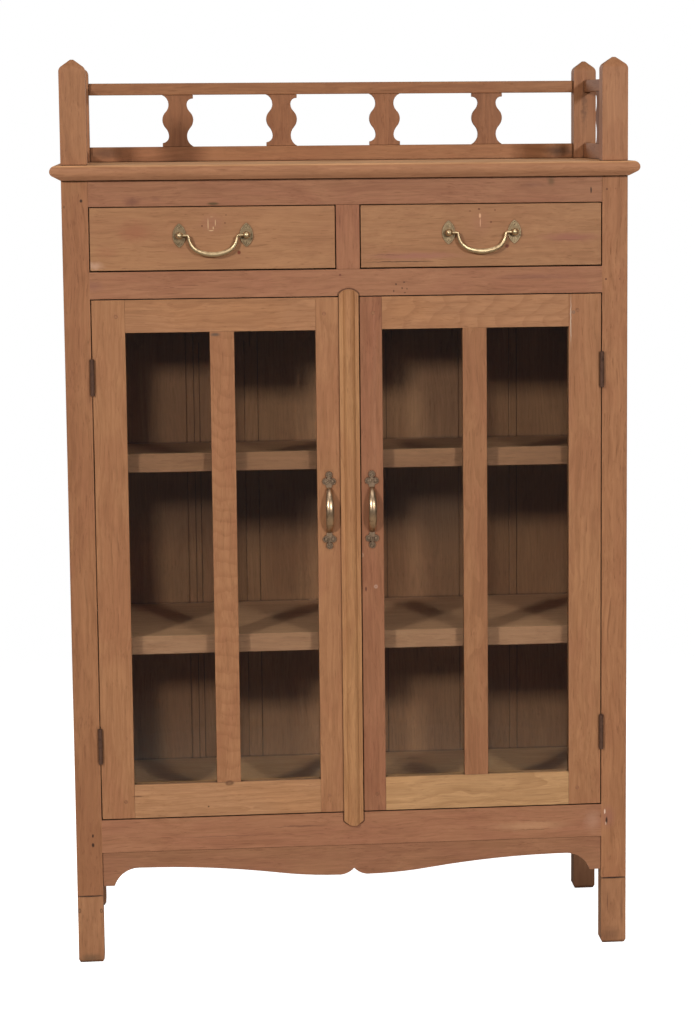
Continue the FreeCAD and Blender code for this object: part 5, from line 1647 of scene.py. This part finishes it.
@dataclass(frozen=True)
class SoftBox:
    """A soft box, placed by its direction as seen from the cabinet, in degrees. Its power is in watts."""

    name: str
    azimuth: float
    elevation: float
    away: float
    size: tuple[float, float]
    power: float

    def hang(self, target: Vector) -> None:
        """Hang the light.

        Args:
            target: the point that it faces.
        """
        data = bpy.data.lights.new(self.name, "AREA")
        data.shape = "RECTANGLE"
        data.size, data.size_y = self.size
        data.energy = self.power
        turn, rise = math.radians(self.azimuth), math.radians(self.elevation)
        toward = Vector((math.sin(turn) * math.cos(rise), -math.cos(turn) * math.cos(rise), math.sin(rise)))
        light = placed(self.name, data)
        facing = (-toward).to_track_quat("-Z", "Y").to_matrix().to_4x4()
        light.matrix_world = Matrix.Translation(target + toward * self.away) @ facing


@dataclass
class Studio:
    """A pale floor, soft lights and the camera. Its turns are in radians and its lens in pixels."""

    camera_place: Vector = field(default_factory=lambda: Vector((-327.93, -4667.58, 1505.28)) * MM)
    heading: float = 0.0944
    dip: float = -0.1203
    roll: float = 0.0076
    focal_pixels: float = 2550.0
    frame_size: tuple[int, int] = (695, 1024)
    centre_offset: tuple[float, float] = (56.97, -82.47)
    sensor_mm: float = 36.0
    floor_size: float = 24.0
    floor_squares: int = 12
    floor_glow: float = 0.90
    paper: Colour = (0.86, 0.86, 0.86)
    mirrored_paper: Colour = (0.52, 0.46, 0.38)
    fades_over: Range = (1.1, 2.6)
    diffuse_room: float = 0.07
    glossy_room: float = 0.08
    boxes: tuple[SoftBox, ...] = (
        SoftBox("left_box", -34.6, 21.9, 5.89, (0.50, 0.50), 182.0),
        SoftBox("right_box", 21.4, 18.3, 5.09, (0.46, 0.46), 113.0),
        SoftBox("over_box", 0.0, 72.0, 3.0, (2.0, 1.5), 16.0),
        SoftBox("rear_left_box", -148.0, 18.0, 6.0, (1.6, 1.6), 95.0),
        SoftBox("rear_right_box", 142.0, 22.0, 6.0, (1.6, 1.6), 140.0),
    )
    target: Vector = field(default_factory=lambda: Vector((0.0, -0.17, 0.85)))

    def build(self) -> None:
        """Set up the whole studio."""
        self.set_camera()
        self.set_floor()
        self.set_world()
        for box in self.boxes:
            box.hang(self.target)
        settings = bpy.context.scene.view_settings
        settings.view_transform = "Standard"
        settings.look = "None"

    def set_camera(self) -> None:
        """Place the camera at the photograph's viewpoint."""
        data = bpy.data.cameras.new("camera")
        longest = max(self.frame_size)
        data.sensor_fit = "AUTO"
        data.sensor_width = self.sensor_mm
        data.lens = self.focal_pixels * self.sensor_mm / longest
        data.shift_x = -self.centre_offset[0] / longest
        data.shift_y = self.centre_offset[1] / longest
        camera = placed("camera", data)
        turned = (Matrix.Rotation(-self.heading, 4, "Z") @ Matrix.Rotation(math.pi / 2 + self.dip, 4, "X")
                  @ Matrix.Rotation(-self.roll, 4, "Z"))
        camera.matrix_world = Matrix.Translation(self.camera_place) @ turned
        bpy.context.scene.camera = camera

    def set_floor(self) -> None:
        """Lay the pale paper floor, which glows a little and fades into the white room around it."""
        bm = bmesh.new()
        bmesh.ops.create_grid(bm, x_segments=self.floor_squares, y_segments=self.floor_squares,
                              size=self.floor_size / 2)
        mesh = bpy.data.meshes.new("floor")
        bm.to_mesh(mesh)
        bm.free()
        mesh.materials.append(self.floor_material())
        placed("floor", mesh)

    def floor_material(self) -> bpy.types.Material:
        """Return the floor's material, which is clear where the floor is far away."""
        made, wires, shader = blank_material("paper_floor")
        rays = Rays(wires)
        wires.feed(shader.inputs["Base Color"], wires.blend(rays.mirrored, self.paper, self.mirrored_paper))
        shader.inputs["Roughness"].default_value = 1.0
        shader.inputs["Specular IOR Level"].default_value = 0.0
        glow = wires.node("ShaderNodeEmission")
        wires.feed(glow.inputs["Strength"], wires.sum(Maths.TIMES, rays.seen, self.floor_glow))
        paper = wires.filled("ShaderNodeAddShader", (shader.outputs[0], glow.outputs[0]))
        room = wires.node("ShaderNodeBsdfTransparent")
        point = wires.node("ShaderNodeTexCoord").outputs["Object"]
        far = wires.step(wires.measure("LENGTH", point), *self.fades_over)
        wires.show(wires.either(far, paper.outputs[0], room.outputs[0]))
        return made

    def set_world(self) -> None:
        """Make the room white where it is seen, and dim as a source of light."""
        world = bpy.data.worlds.new("room")
        bpy.context.scene.world = world
        world.use_nodes = True
        wires = Wiring(world.node_tree)
        rays = Rays(wires)
        mirror = wires.sum(Maths.TIMES, rays.mirrored, self.glossy_room - self.diffuse_room)
        dim = wires.sum(Maths.ADD, mirror, self.diffuse_room)
        shown = wires.sum(Maths.TIMES, rays.seen, 1.0 - self.diffuse_room)
        back = world.node_tree.nodes["Background"]
        wires.feed(back.inputs["Color"], (1.0, 1.0, 1.0))
        wires.feed(back.inputs["Strength"], wires.sum(Maths.ADD, shown, dim))


def main() -> None:
    """Build and dress the cabinet, then set up the studio."""
    logging.basicConfig(level=logging.INFO, format="%(name)s: %(message)s")
    Carcass().build()
    Gallery().build()
    for side in Side:
        Door(side).build()
        Drawer(side).build()
    Studio().build()


if __name__ == "__main__":
    main()
